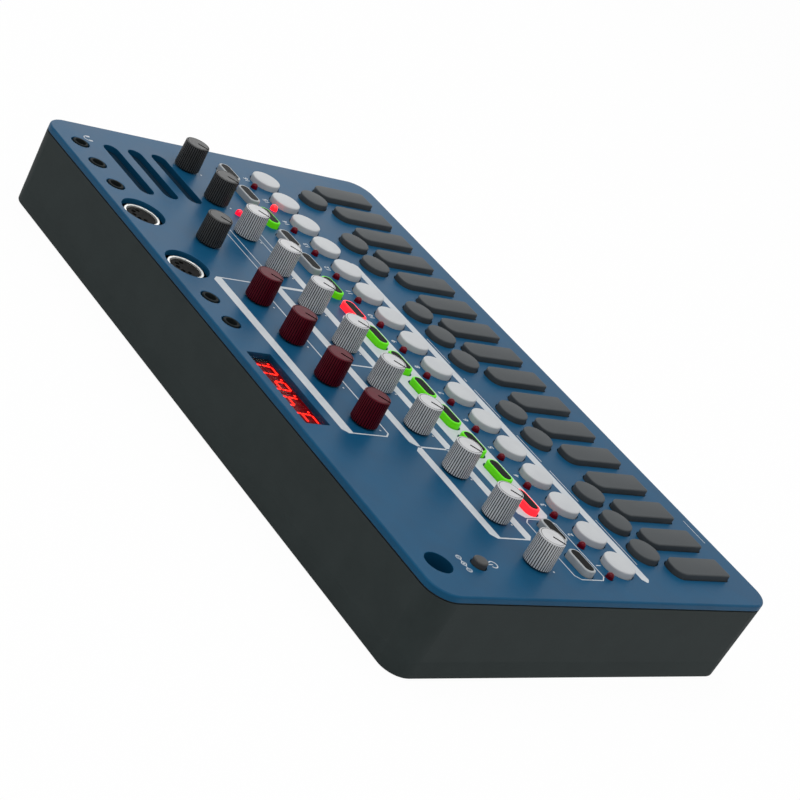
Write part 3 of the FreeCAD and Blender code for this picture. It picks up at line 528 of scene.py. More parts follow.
CAD_BEVELS = {"bottom_case": 0.25, "battery_door": 0.3}
BEVEL_STEPS = 2
BEVEL_LIMIT = math.radians(30)
CASE_CORNER = 10.0
CORNER_STEPS = 12
WALL_LEAN = math.tan(math.radians(2.26))
TUB_ROUND = 0.8
TUB_LOW = 0.35  # the lowest level of the tub's edge
EDGE_STEPS = 10
EDGE_HIGH = 8.0  # how far up the wall the piece of the edge reaches
EDGE_WIDE = 2.6  # and how far in under the floor
EDGE_LAP = 0.1
EDGE_SUNK = 0.5
SKIN = 0.02  # how far it lies in front of the CAD wall


def soften_cad_nodes():
    """Breaks the sharp edges of the CAD nodes that stay in sight."""
    for name, width in CAD_BEVELS.items():
        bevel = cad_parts[name].modifiers.new("edges", "BEVEL")
        bevel.width = width * MM
        bevel.segments = BEVEL_STEPS
        bevel.limit_method = "ANGLE"
        bevel.angle_limit = BEVEL_LIMIT
        bevel.harden_normals = True


def case_loop(z, inset):
    """The case's outline in plan."""
    return rounded(-HALF_WIDTH, HALF_WIDTH, -HALF_DEPTH, HALF_DEPTH, z, CASE_CORNER, CASE_CORNER,
                   CORNER_STEPS, inset)


def make_tub_edge():
    """The rounded lower edge of the tub, laid over the edge of the CAD node."""
    edge = Shape(tub_plastic)

    def outline(z, inset):
        return case_loop(z, (SEAM - z) * WALL_LEAN + inset - SKIN)

    loops = [outline(TUB_LOW, EDGE_WIDE)]
    for step in range(EDGE_STEPS + 1):
        angle = math.radians(90 * step / EDGE_STEPS)
        loops.append(outline(TUB_LOW + TUB_ROUND * (1 - math.cos(angle)),
                             TUB_ROUND * (1 - math.sin(angle))))
    loops += [outline(EDGE_HIGH, 0.0), outline(EDGE_HIGH + EDGE_LAP, 2 * SKIN),
              outline(EDGE_HIGH + EDGE_LAP, EDGE_SUNK),
              outline(TUB_FLOOR + TUB_ROUND, EDGE_WIDE), outline(TUB_LOW, EDGE_WIDE)]
    edge.wall(loops, floor=False, top=False)
    edge.made("tub_edge", "case", [], "tub_dark", 40)


dress_cad_nodes()
soften_cad_nodes()
make_tub_edge()


# The cover: panel, openings and lip

GAP = 0.35  # round every key and button
EDGE = 0.14  # the broken edge of every opening
LIP_ROUND = 0.8
LIP_STEPS = 8
LIP_BREAK = 0.1
LIP_UNDER = 0.6  # how far in the lip's lower face reaches
SEAM_HIGH = 0.5
SEAM_SUNK = 0.5
# the heights of the near-black band in the seam, which paints its shade
SEAM_SHADE_BAND = (SEAM - 0.6, SEAM + 0.8)
KEY_FRONT = -74.5
KEY_REAR = -44.5
KEY_HALF = 5.15
KEY_ROUNDS = (4.5, 1.2)  # rear and front
ROUND_KEY_ROW = -37.0
ROUND_KEY_RADIUS = 6.4
ROUND_KEY_AFTER = (1, 2, 3, 5, 6, 8, 9, 10, 12, 13, 15)  # the columns before them, from 1
STEP_ROW = -15.0
STEP_RADIUS = 6.45
FUNCTION_ROW = 5.4
FUNCTION_HALF = 6.55
FUNCTION_DEEP = 2.85
FUNCTION_ROUND = 2.5
LAMP_ROW = -5.3
LAMP_OFFSET = -6.0
LAMP_HOLE = 1.58
FREE_LAMP = (93.0, 20.5)
SHAFT_HOLE = 3.4
POWER_BUTTON = (-131.2, 57.4)
POWER_RADIUS = 2.8
POWER_WELL = (-131.0, 75.9)
WELL_RADIUS = 5.4
WELL_UNDER = 26.2
JACK_ROW = 78.8
JACKS = (4.8, 20.9, 99.0, 115.0, 130.6)
JACK_HOLE = 3.95
MIDI_ROW = 76.0
MIDI = (43.7, 80.0)
MIDI_HOLE = 9.2
WINDOW = (-56.7, -14.2, 72.5, 83.7)
WINDOW_ROUND = 0.5
SLOT_ROWS = (39.8, 51.9, 64.0)
SLOT_LEFT = 95.8
SLOT_RIGHT = 133.3
SLOT_HALF = 3.5


def round_hole(x, y, radius, sides=40):
    """A round opening, as a loop for a height and a growth."""
    return lambda z, grow=0.0: ring(x, y, z, radius + grow, sides)


def long_hole(left, right, front, rear, rear_round, front_round):
    """An opening with round corners, as a loop for a height and a growth."""
    return lambda z, grow=0.0: rounded(left, right, front, rear, z, rear_round, front_round,
                                       inset=-grow)


def function_hole(index, grow=GAP):
    """The opening of a flat button."""
    x = column(index)
    wide = FUNCTION_HALF + grow
    deep = FUNCTION_DEEP + grow
    corner = FUNCTION_ROUND + grow
    return long_hole(x - wide, x + wide, FUNCTION_ROW - deep, FUNCTION_ROW + deep, corner, corner)


def panel_holes():
    """Every opening that goes straight through the panel."""
    holes = []
    for index in range(COLUMNS):
        x = column(index)
        holes.append(long_hole(x - KEY_HALF - GAP, x + KEY_HALF + GAP, KEY_FRONT - GAP,
                               KEY_REAR + GAP, *(radius + GAP for radius in KEY_ROUNDS)))
        holes.append(round_hole(x, STEP_ROW, STEP_RADIUS + GAP, 56))
        holes.append(function_hole(index))
        holes.append(round_hole(x + LAMP_OFFSET, LAMP_ROW, LAMP_HOLE, 24))
    for index in ROUND_KEY_AFTER:
        holes.append(round_hole(column(index - 0.5), ROUND_KEY_ROW, ROUND_KEY_RADIUS + GAP, 56))
    holes.extend(round_hole(*middle(name), SHAFT_HOLE, 28) for name in knobs)
    holes.extend(round_hole(x, JACK_ROW, JACK_HOLE) for x in JACKS)
    holes.extend(round_hole(x, MIDI_ROW, MIDI_HOLE, 72) for x in MIDI)
    holes.append(long_hole(*WINDOW, WINDOW_ROUND, WINDOW_ROUND))
    for y in SLOT_ROWS:
        holes.append(long_hole(SLOT_LEFT, SLOT_RIGHT, y - SLOT_HALF, y + SLOT_HALF, SLOT_HALF,
                               SLOT_HALF))
    holes.append(round_hole(*POWER_BUTTON, POWER_RADIUS + GAP))
    holes.append(round_hole(*FREE_LAMP, LAMP_HOLE, 24))
    return holes


def make_cover():
    """The panel with its openings, the rounded lip, and a near-black band in the seam that paints
    the shade there.
    """
    cover = Shape(blue_plastic, seam_shade)
    holes = panel_holes()
    for hole in holes:
        cover.wall([hole(UNDER), hole(PANEL - EDGE), hole(PANEL, EDGE)], floor=False, top=False)
    well = round_hole(*POWER_WELL, WELL_RADIUS, 56)
    cover.wall([well(WELL_UNDER), well(PANEL - EDGE), well(PANEL, EDGE)], floor=False, top=False)
    cover.face(case_loop(PANEL, LIP_ROUND), [hole(PANEL, EDGE) for hole in (*holes, well)])

    lip = SEAM + SEAM_HIGH
    loops = [case_loop(lip, LIP_UNDER), case_loop(lip, LIP_BREAK)]
    loops += soft_edge(case_loop, lip + LIP_BREAK, PANEL, LIP_ROUND, LIP_STEPS)
    cover.wall(loops, floor=False, top=False)
    # A band set back in the seam: the recess is real, its near-black colour paints the shade in it
    cover.wall([case_loop(z, SEAM_SUNK) for z in SEAM_SHADE_BAND], seam_shade, floor=False, top=False)
    cover.made("cover_panel", "case", ["top_cover"], "cover_blue", 40)


make_cover()


# Print on the panel

LINE = 0.44
CUT = 2.2
ARC_STEPS = 20
FRONT_CORNERS = ("front_left", "front_right")
REAR_CORNERS = ("rear_right", "rear_left")

# A box is left, right, front and rear; a block left and right; a bar or a frame front and rear
FRAMED_BOX = (-137.2, -103.6, -3.0, 12.9)
FILLED_BOX = (-103.1, 22.6, -2.3, 13.3)
FIELD_BUTTONS = range(2, 9)  # the columns whose flat buttons lie in the filled field
FIELD_GAP = GAP + EDGE + 0.12
KNOB_BLOCKS = ((-116.3, -65.1), (-64.3, 36.9))
DIVIDER_BLOCKS = ((-116.3, -115.6), (-65.1, -64.3), (-14.5, -13.8), (36.3, 37.9))
END_BLOCK = (37.9, 84.5)
END_SPLIT = 57.5
UPPER_BAR = (34.2, 38.2)
LOWER_BAR = (17.4, 21.3)
FINE_LINE = 0.4
REAR_BLOCK = (-60.4, 37.4)
REAR_BAR = (64.4, 68.3)
REAR_FRAME = (45.4, 64.4)
REAR_LINE = 0.6
STEP_BOX = (-137.2, 67.6, -26.9, -22.9)
STEP_CUT = 1.6
DASH_BLOCKS = ((-127.0, -101.5), (-90.5, -72.0), (-66.5, -50.0), (-39.0, -20.5), (-15.0, -13.0),
               (-3.0, 14.0))
DASH_BAR = (-28.5, -28.15)
FRONT_BOX = (-111.5, -98.0, -83.5, -83.2)
DOT_RADIUS = 0.42
DOT_LEFT = 4.2  # from a knob's middle
DOT_FRONT = 5.5

# The signs
SIGN_RADIUS = 1.9
POWER_SIGN = (-130.9, 50.1)
POWER_ARC = (128, 412)
POWER_LINE = 0.42
POWER_BOX = (-131.1, -130.7, 50.3, 52.4)
POLES = (-134.3, -131.0, -127.7)
POLE_ROW = 64.2
POLE_RADIUS = 1.15
POLE_LINE = 0.32
POLE_BOXES = ((-133.15, -132.15, 64.05, 64.35), (-129.85, -128.85, 64.05, 64.35),
              (-134.9, -133.7, 64.07, 64.33), (-128.3, -127.1, 64.07, 64.33))
PHONES = (135.6, 72.6)
PHONES_ARC = (0, 180)
CUPS = (133.95, 137.25)
CUP_HALF = 0.55
CUP_ROWS = (71.0, 72.9)
CUP_ROUND = 0.3

NUMBER_SIZE = 3.5
NUMBER_BOLD = 0.05
NUMBER_SHIFT = 0.7
NUMBER_ROW = -5.7


def cut_box(left, right, front, rear, cut=CUT, inset=0.0, square=()):
    """A box with its corners cut, as a loop for a height; the corners in square stay whole."""
    small = cut - inset * (2 - math.sqrt(2))
    places = (("rear_right", right, rear, -1, -1), ("rear_left", left, rear, 1, -1),
              ("front_left", left, front, 1, 1), ("front_right", right, front, -1, 1))
    corners = []
    for order, (name, x, y, side, end) in enumerate(places):
        x += inset * side
        y += inset * end
        if name in square:
            corners.append((x, y))
        elif order % 2 == 0:
            corners += [(x, y + small * end), (x + small * side, y)]
        else:
            corners += [(x + small * side, y), (x, y + small * end)]
    return lambda z: [(x, y, z) for x, y in corners]


def frame_line(ink, left, right, front, rear, line=LINE, square=()):
    """A thin line round a box."""
    ink.plate(cut_box(left, right, front, rear, square=square),
              [cut_box(left, right, front, rear, inset=line, square=square)])


def bar(ink, left, right, front, rear):
    """A plain printed rectangle."""
    ink.plate(cut_box(left, right, front, rear, square=REAR_CORNERS + FRONT_CORNERS))


def dot(ink, x, y):
    """A printed round dot."""
    ink.plate(lambda z: ring(x, y, z, DOT_RADIUS, 20))


def circle_line(ink, x, y, radius, line):
    """A printed circle."""
    ink.plate(lambda z: ring(x, y, z, radius, 28), [lambda z: ring(x, y, z, radius - line, 28)])


def arc_line(ink, x, y, radius, line, start, end):
    """A printed arc, between two angles in degrees."""
    turns = [math.radians(start + (end - start) * step / ARC_STEPS)
             for step in range(ARC_STEPS + 1)]
    path = [(radius, turn) for turn in turns] + [(radius - line, turn) for turn in turns[::-1]]
    ink.plate(lambda z: [(x + reach * math.cos(turn), y + reach * math.sin(turn), z)
                         for reach, turn in path])


def make_print():
    """The white print: frames, bars and dividers, small marks and plain signs."""
    ink = Shape(ink_white)
    frame_line(ink, *FRAMED_BOX)
    ink.plate(cut_box(*FILLED_BOX), [function_hole(index, FIELD_GAP) for index in FIELD_BUTTONS])

    for block in KNOB_BLOCKS:
        ink.plate(cut_box(*block, *UPPER_BAR, square=FRONT_CORNERS))
    for block in KNOB_BLOCKS:
        ink.plate(cut_box(*block, *LOWER_BAR, square=REAR_CORNERS))
    for block in DIVIDER_BLOCKS:
        bar(ink, *block, LOWER_BAR[1], UPPER_BAR[0])
    left, right = END_BLOCK
    frame_line(ink, left, right, *UPPER_BAR, line=FINE_LINE, square=FRONT_CORNERS)
    ink.plate(cut_box(left, END_SPLIT, *LOWER_BAR, square=(*REAR_CORNERS, "front_right")))
    frame_line(ink, END_SPLIT, right, *LOWER_BAR, line=FINE_LINE,
               square=(*REAR_CORNERS, "front_left"))

    ink.plate(cut_box(*REAR_BLOCK, *REAR_BAR, square=FRONT_CORNERS))
    frame_line(ink, *REAR_BLOCK, *REAR_FRAME, line=REAR_LINE, square=REAR_CORNERS)

    ink.plate(cut_box(*STEP_BOX, STEP_CUT))
    for block in DASH_BLOCKS:
        bar(ink, *block, *DASH_BAR)
    bar(ink, *FRONT_BOX)

    for name in knobs:
        if name != "volume_knob":
            x, y = middle(name)
            dot(ink, x - DOT_LEFT, y - DOT_FRONT)
    make_signs(ink)
    ink.made("panel_print", "case", [], "cover_blue", 60)


def make_signs(ink):
    """Plain signs: on and off, the plug's polarity, and headphones."""
    arc_line(ink, *POWER_SIGN, SIGN_RADIUS, POWER_LINE, *POWER_ARC)
    bar(ink, *POWER_BOX)
    for x in POLES:
        circle_line(ink, x, POLE_ROW, POLE_RADIUS, POLE_LINE)
    dot(ink, POLES[1], POLE_ROW)
    for box in POLE_BOXES:
        bar(ink, *box)
    arc_line(ink, *PHONES, SIGN_RADIUS, FINE_LINE, *PHONES_ARC)
    for x in CUPS:
        ink.plate(lambda z: rounded(x - CUP_HALF, x + CUP_HALF, *CUP_ROWS, z, CUP_ROUND, CUP_ROUND,
                                    3))


def make_numbers():
    """The numbers of the sixteen steps."""
    joined = bmesh.new()
    for index in range(COLUMNS):
        words = bpy.data.curves.new("number", "FONT")
        words.body = str(index + 1)
        words.size = NUMBER_SIZE * MM
        words.align_x = words.align_y = "CENTER"
        words.extrude = INK_THICK * MM / 2
        words.offset = NUMBER_BOLD * MM
        label = placed("number", words)
        label.location = ((column(index) + NUMBER_SHIFT) * MM, NUMBER_ROW * MM,
                          (PANEL + INK_THICK / 2) * MM)
        mesh = evaluated(label)
        mesh.transform(label.matrix_world)
        joined.from_mesh(mesh)
        bpy.data.objects.remove(label)
    numbers = bpy.data.meshes.new("step_numbers")
    joined.to_mesh(numbers)
    joined.free()
    numbers.materials.append(ink_white)
    piece = placed("step_numbers", numbers)
    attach(piece, "case")


make_print()
make_numbers()


# Display

DISPLAY_FACE = 33.8
HOLDER_SIDE = 3.5
HOLDER_HALF = 5.85
HOLDER_ROUND = 0.4
MODULE_FOOT = DISPLAY_FACE - 0.4
MODULE_HALF = 9.3
MODULE_ROUND = 0.3
RIM_LINE = 0.3  # the lit line along a module's rear edge
RIM_THICK = 0.05
RIM_ROUND = 0.1
RIM_SIDE = 0.6
RIM_REAR = 0.7
DIGITS = "3460"
LIT = {"0": "abcdef", "3": "abcdg", "4": "bcfg", "6": "acdefg"}
DIGIT_HIGH = 8.6
DIGIT_WIDE = 5.0
DIGIT_STEP = 9.6
DIGIT_LEAN = 0.14
SEGMENT = 0.8
SEGMENT_GAP = 0.16
SEGMENT_THICK = 0.06
POINT_RADIUS = 0.5
POINT_PLACE = 0.72  # from the digit's middle, as a share of its width
PANE_GAP = 0.1
PANE_LOW = DISPLAY_FACE + 0.15
PANE_TOP = 35.3
PANE_CORNER = 0.4
PANE_ROUND = 0.12


def make_digits():
    """Four plain digits of seven segments, each with its point, on two dark red modules."""
    face = Shape(socket_plastic, digit_lit, digit_dim, digit_face)
    left, right, front, rear = WINDOW
    middle_x = (left + right) / 2
    middle_y = (front + rear) / 2
    face.block(left - HOLDER_SIDE, right + HOLDER_SIDE, middle_y - HOLDER_HALF,
               middle_y + HOLDER_HALF, BOARD, MODULE_FOOT, HOLDER_ROUND)
    for side in (-1, 1):
        x = middle_x + side * DIGIT_STEP
        face.block(x - MODULE_HALF, x + MODULE_HALF, front, rear, MODULE_FOOT, DISPLAY_FACE,
                   MODULE_ROUND, coat=digit_face, floor=False)
        face.block(x - MODULE_HALF + RIM_SIDE, x + MODULE_HALF - RIM_SIDE, rear - RIM_REAR,
                   rear - RIM_REAR + RIM_LINE, DISPLAY_FACE, DISPLAY_FACE + RIM_THICK, RIM_ROUND,
                   1, digit_lit, floor=False)
    top = DISPLAY_FACE + SEGMENT_THICK
    for order, digit in enumerate(DIGITS):
        x = middle_x + DIGIT_STEP * (order - (len(DIGITS) - 1) / 2)
        for segment, outline in segments(x, middle_y):
            coat = digit_lit if segment in LIT[digit] else digit_dim
            face.wall([[(a, b, z) for a, b in outline] for z in (DISPLAY_FACE, top)], coat,
                      floor=False)
        face.turned(x + DIGIT_WIDE * POINT_PLACE, middle_y - DIGIT_HIGH / 2 + SEGMENT / 2,
                    [(DISPLAY_FACE, POINT_RADIUS), (top, POINT_RADIUS)], digit_lit, 16,
                    floor=False)
    face.made("display_digits", "case", ["display_module"], "display_black")


def segments(x, y):
    """The seven segments of a digit, leaning a little: the name and the corners of each."""
    half = DIGIT_WIDE / 2
    tall = DIGIT_HIGH / 2
    reach = SEGMENT / 2
    short = SEGMENT_GAP
    ends = {"a": (-half, tall, half, tall), "g": (-half, 0, half, 0),
            "d": (-half, -tall, half, -tall), "f": (-half, 0, -half, tall),
            "b": (half, 0, half, tall), "e": (-half, -tall, -half, 0),
            "c": (half, -tall, half, 0)}
    made = []
    for name, (x0, y0, x1, y1) in ends.items():
        if y0 == y1:
            corners = [(x0 + short, y0), (x0 + reach + short, y0 - reach),
                       (x1 - reach - short, y0 - reach), (x1 - short, y0),
                       (x1 - reach - short, y0 + reach), (x0 + reach + short, y0 + reach)]
        else:
            corners = [(x0, y0 + short), (x0 + reach, y0 + reach + short),
                       (x0 + reach, y1 - reach - short), (x0, y1 - short),
                       (x0 - reach, y1 - reach - short), (x0 - reach, y0 + reach + short)]
        made.append((name, [(x + a + b * DIGIT_LEAN, y + b) for a, b in corners]))
    return made


def make_pane():
    """The clear pane over the digits."""
    left, right, front, rear = WINDOW

    def outline(z, inset):
        return rounded(left + PANE_GAP, right - PANE_GAP, front + PANE_GAP, rear - PANE_GAP, z,
                       PANE_CORNER, PANE_CORNER, 4, inset)

    pane = Shape(pane_clear)
    pane.wall(soft_edge(outline, PANE_LOW, PANE_TOP, PANE_ROUND, 3))
    pane.made("display_pane", "case", ["display_window"], "window_dark")


make_digits()
make_pane()


# Sockets. A profile gives heights and radii, in the order in which its surface is turned

JACK_HALF = 4
JACK_BODY = 33.7
JACK_CORNER = 0.3
JACK_PROFILE = ((JACK_BODY, 3.3), (36.3, 3.3), (36.45, 3.2), (36.5, 3.05), (36.5, 2.5),
                (36.35, 2.3), (33.9, 2.2), (33.85, 1.8), (20.8, 1.8))
POWER_BORE = ((BOARD, 6.5), (WELL_UNDER, 6.5), (WELL_UNDER, 2.9), (26.0, 2.8), (21.2, 2.8))
POWER_PIN = ((21.2, 1.0), (25.7, 1.0), (26.0, 0.8), (26.1, 0.4))
MIDI_HALF = 7.5
MIDI_BODY = 28.8
MIDI_CORNER = 0.4
MIDI_FLOOR = 30.8
MIDI_FACE = 34.7
MIDI_SHIELD = ((MIDI_BODY, 7.5), (MIDI_FACE - 0.1, 7.5), (MIDI_FACE, 7.4), (MIDI_FACE, 6.7),
               (MIDI_FACE - 0.1, 6.6), (MIDI_FLOOR, 6.55))
INSERT_FACE = 34.35
INSERT_RADIUS = 5.85
MIDI_INSERT = ((MIDI_FLOOR, 6.1), (INSERT_FACE - 0.25, 6.1), (INSERT_FACE, INSERT_RADIUS))
PINS = 5
PIN_TURN = math.radians(45)
PIN_CIRCLE = 3.5
PIN_RADIUS = 0.95
PIN_DEEP = 2.5


def make_jacks():
    """Five jack sockets, and the power jack at the bottom of its well."""
    jacks = Shape(socket_plastic, metal_bright)
    for x in JACKS:
        jacks.block(x - JACK_HALF, x + JACK_HALF, JACK_ROW - JACK_HALF, JACK_ROW + JACK_HALF,
                    BOARD, JACK_BODY, JACK_CORNER)
        jacks.turned(x, JACK_ROW, JACK_PROFILE, floor=False)
    jacks.turned(*POWER_WELL, POWER_BORE)
    jacks.turned(*POWER_WELL, POWER_PIN, metal_bright, 24)
    jacks.made("jack_bodies", "case", ["jack_sockets"], "socket_black")


def make_midi():
    """Two DIN sockets: a bright shield round a black insert with its five holes."""
    sockets = Shape(insert_plastic, metal_bright)
    for x in MIDI:
        sockets.block(x - MIDI_HALF, x + MIDI_HALF, MIDI_ROW - MIDI_HALF, MIDI_ROW + MIDI_HALF,
                      BOARD, MIDI_BODY, MIDI_CORNER)
        sockets.turned(x, MIDI_ROW, MIDI_SHIELD, metal_bright, 64, floor=False)
        sockets.turned(x, MIDI_ROW, MIDI_INSERT, insert_plastic, 64, floor=False, top=False)
        pins = [ring(x + PIN_CIRCLE * math.cos(PIN_TURN * index),
                     MIDI_ROW + PIN_CIRCLE * math.sin(PIN_TURN * index), INSERT_FACE, PIN_RADIUS,
                     20) for index in range(PINS)]
        sockets.face(ring(x, MIDI_ROW, INSERT_FACE, INSERT_RADIUS, 64), pins)
        for pin in pins:
            sockets.wall([pin, [(a, b, z - PIN_DEEP) for a, b, z in pin]], floor=False)
    sockets.made("midi_bodies", "case", ["midi_sockets"], "socket_black")


make_jacks()
make_midi()


# Speaker

# The dark sheet under the slots, which paints the shade seen through them
SHADE_SHEET_LOW = UNDER - 0.12
SHADE_SHEET_TOP = UNDER - 0.02
SHADE_SHEET_WIDER = 1.5
SHADE_SHEET_ROUND = 2.0
SPEAKER = (114.55, 51.9)
MAGNET = ((21.8, 10.0), (26.8, 10.0))
CONE = ((26.8, 13.0), (32.3, 16.5), (32.4, 18.4), (SHADE_SHEET_LOW, 18.4), (SHADE_SHEET_LOW, 16.0),
        (32.6, 15.5), (30.0, 7.0), (31.0, 4.5), (31.6, 2.5))


def make_speaker():
    """The speaker, with a dark sheet between it and the slots that paints the shade seen through
    them.
    """
    speaker = Shape(cone_paper, slot_shade_sheet, pot_metal)
    speaker.block(SLOT_LEFT - SHADE_SHEET_WIDER, SLOT_RIGHT + SHADE_SHEET_WIDER,
                  SLOT_ROWS[0] - SLOT_HALF - SHADE_SHEET_WIDER, SLOT_ROWS[-1] + SLOT_HALF + SHADE_SHEET_WIDER,
                  SHADE_SHEET_LOW, SHADE_SHEET_TOP, SHADE_SHEET_ROUND, 8, slot_shade_sheet)
    speaker.turned(*SPEAKER, MAGNET, pot_metal, 48, top=False)
    speaker.turned(*SPEAKER, CONE, cone_paper, 64)
    speaker.made("speaker_unit", "case", ["speaker"], "speaker_black")


make_speaker()


# Underside

SCREW_X = 140.5
SCREW_Y = 79.5
SCREW_FACE = 2.0
SCREW_RIM = 1.9
SCREW_PROFILE = ((24.0, 1.2), (25.0, 1.4), (3.5, 1.4), (3.5, 2.75), (2.6, 2.8), (2.2, 2.55),
                 (SCREW_FACE, SCREW_RIM))
CROSS_ARM = 1.35
CROSS_HALF = 0.36
CROSS_TOP = 2.9
CROSS_TAPER = 0.8
FOOT_X = 126.0
FOOT_Y = 66.0
FOOT_PROFILE = ((1.9, 5.9), (0.5, 5.9), (0.15, 5.75), (0.0, 5.4), (0.0, 4.4), (0.2, 4.0))


def make_screws():
    """Four screws with a cross recess."""
    arm, half = CROSS_ARM, CROSS_HALF
    cross = [(arm, half), (half, half), (half, arm), (-half, arm), (-half, half), (-arm, half),
             (-arm, -half), (-half, -half), (-half, -arm), (half, -arm), (half, -half),
             (arm, -half)]
    screws = Shape(screw_metal)
    for x in (-SCREW_X, SCREW_X):
        for y in (-SCREW_Y, SCREW_Y):
            screws.turned(x, y, SCREW_PROFILE, top=False)
            recess = [(x + a, y + b, SCREW_FACE) for a, b in cross]
            screws.face(ring(x, y, SCREW_FACE, SCREW_RIM, 40), [recess])
            screws.wall([recess, [(x + a * CROSS_TAPER, y + b * CROSS_TAPER, CROSS_TOP)
                                  for a, b in cross]], floor=False)
    screws.made("screw_heads", "case", ["case_screws"], "screw_steel")


def make_feet():
    """Four round rubber feet, slightly dished underneath."""
    feet = Shape(foot_rubber)
    for x in (-FOOT_X, FOOT_X):
        for y in (-FOOT_Y, FOOT_Y):
            feet.turned(x, y, FOOT_PROFILE, sides=56)
    feet.made("foot_pads", "case", ["rubber_feet"], "foot_rubber")


make_screws()
make_feet()


# Knobs

KNOB_LOW = 36.8
KNOB_TOP = 48.0
KNOB_BASE = 5.45  # the radius at the foot
KNOB_HEAD = 5.2  # and at the top
BASE_ROUND = 0.25
TOP_ROUND = 0.3
TOP_STEPS = 3
FLUTES = 36
FLUTE_DEPTH = 0.36
# Across one flute, from the groove's middle: the place along it, and the share of the depth there
FLUTE_SECTION = ((0.0, 1.0), (0.11, 0.96), (0.18, 0.12), (0.5, 0.0), (0.82, 0.12), (0.89, 0.96))
# The faces of each narrow groove take the darker finish: painted shade in a real groove
GROOVE_STEPS = (0, 1, 4, 5)
GROOVE_LEVELS = 3
FLUTE_STOP = 0.42  # below the top
FLUTE_END = 0.12  # the height in which the flutes run out
FLUTE_IN = 0.04
# The fine ring turned into the top, its faces in the darker finish as painted shade
RING_LINE = 0.62
RING_HALF = 0.11
RING_DEEP = 0.14
RING_LEVELS = 2
# The pointer's groove
GROOVE_WIDTH = 0.95
GROOVE_DEEP = 0.7
CUT_PAST = 1.0  # how far the cut reaches past the cap
SHAFT_LOW = 32.6
SHAFT_RADIUS = 3.0
KNOB_SHARP = math.radians(38)


def knob_loop(z, radius, depth=0.0):
    """A fluted loop: narrow grooves between wide ribs."""
    loop = []
    for index in range(FLUTES):
        for place, share in FLUTE_SECTION:
            angle = 2 * math.pi * (index + place) / FLUTES
            reach = radius - depth * share
            loop.append((reach * math.cos(angle), reach * math.sin(angle), z))
    return loop


def make_cap():
    """A fluted cap with a fine ring on its top; the grooves and the ring take the darker finish, a
    painted shade.
    """
    slope = (KNOB_BASE - KNOB_HEAD) / (KNOB_TOP - KNOB_LOW)
    stop = KNOB_TOP - FLUTE_STOP
    stop_radius = KNOB_HEAD + slope * FLUTE_STOP
    loops = [knob_loop(KNOB_LOW, KNOB_BASE - BASE_ROUND, FLUTE_DEPTH),
             knob_loop(KNOB_LOW + BASE_ROUND, KNOB_BASE, FLUTE_DEPTH),
             knob_loop(stop, stop_radius, FLUTE_DEPTH),
             knob_loop(stop + FLUTE_END, stop_radius - FLUTE_IN)]
    for step in range(TOP_STEPS + 1):
        turn = math.radians(90 * step / TOP_STEPS)
        loops.append(knob_loop(KNOB_TOP - TOP_ROUND + TOP_ROUND * math.sin(turn),
                               KNOB_HEAD - TOP_ROUND * (1 - math.cos(turn))))
    line = KNOB_HEAD - RING_LINE
    ring_level = len(loops)
    loops += [knob_loop(KNOB_TOP, line + RING_HALF), knob_loop(KNOB_TOP - RING_DEEP, line),
              knob_loop(KNOB_TOP, line - RING_HALF)]
    cap = Shape(grey_plastic, grey_groove_shade)
    cap.wall(loops)
    steps = len(FLUTE_SECTION)
    around = steps * FLUTES
    for index in range(around * GROOVE_LEVELS):
        if index % steps in GROOVE_STEPS:
            cap.coats[index] = grey_groove_shade
    for index in range(around * ring_level, around * (ring_level + RING_LEVELS)):
        cap.coats[index] = grey_groove_shade
    return cap


def make_cutter():
    """The block that cuts the pointer's groove at the rest angle; its darker finish paints the
    shade in the groove.
    """
    length = KNOB_BASE + CUT_PAST
    loops = []
    for z in (KNOB_TOP - GROOVE_DEEP, KNOB_TOP + CUT_PAST):
        loop = []
        for along, across in ((0, -1), (1, -1), (1, 1), (0, 1)):
            x = along * length
            y = across * GROOVE_WIDTH / 2
            loop.append((x * math.cos(POINTER) - y * math.sin(POINTER),
                         x * math.sin(POINTER) + y * math.cos(POINTER), z))
        loops.append(loop)
    cutter = Shape(grey_plastic, grey_groove_shade)
    cutter.wall(loops, grey_groove_shade)
    return cutter


def make_knob_mesh():
    """One cap with its shaft, at the origin, with the pointer's groove cut into it."""
    body = placed("knob", make_cap().mesh("knob"))
    cutter = placed("cutter", make_cutter().mesh("cutter"))
    cut = body.modifiers.new("groove", "BOOLEAN")
    cut.operation = "DIFFERENCE"
    cut.solver = "EXACT"
    cut.object = cutter
    knob = evaluated(body)
    for thing in (body, cutter):
        bpy.data.objects.remove(thing)

    shaft = Shape(grey_plastic)
    shaft.turned(0, 0, ((SHAFT_LOW, SHAFT_RADIUS), (KNOB_LOW, SHAFT_RADIUS)), sides=24)
    joined = bmesh.new()
    joined.from_mesh(knob)
    joined.from_mesh(shaft.mesh("shaft"))
    joined.to_mesh(knob)
    joined.free()
    knob.polygons.foreach_set("use_smooth", [True] * len(knob.polygons))
    knob.set_sharp_from_angle(angle=KNOB_SHARP)
    return knob


def make_knobs():
    """A fine-fluted cap on every knob's place."""
    master = make_knob_mesh()
    meshes = {}
    for kind, coats in KNOB_FINISHES.items():
        meshes[kind] = master.copy()
        for index, coat in enumerate(coats):
            meshes[kind].materials[index] = coat
    for name in knobs:
        kind = knob_kind(name)
        cap = placed(name + "_cap", meshes[kind])
        x, y = middle(name)
        cap.location = (x * MM, y * MM, 0)
        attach(cap, name)
        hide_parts(name)


make_knobs()


# Keys and buttons

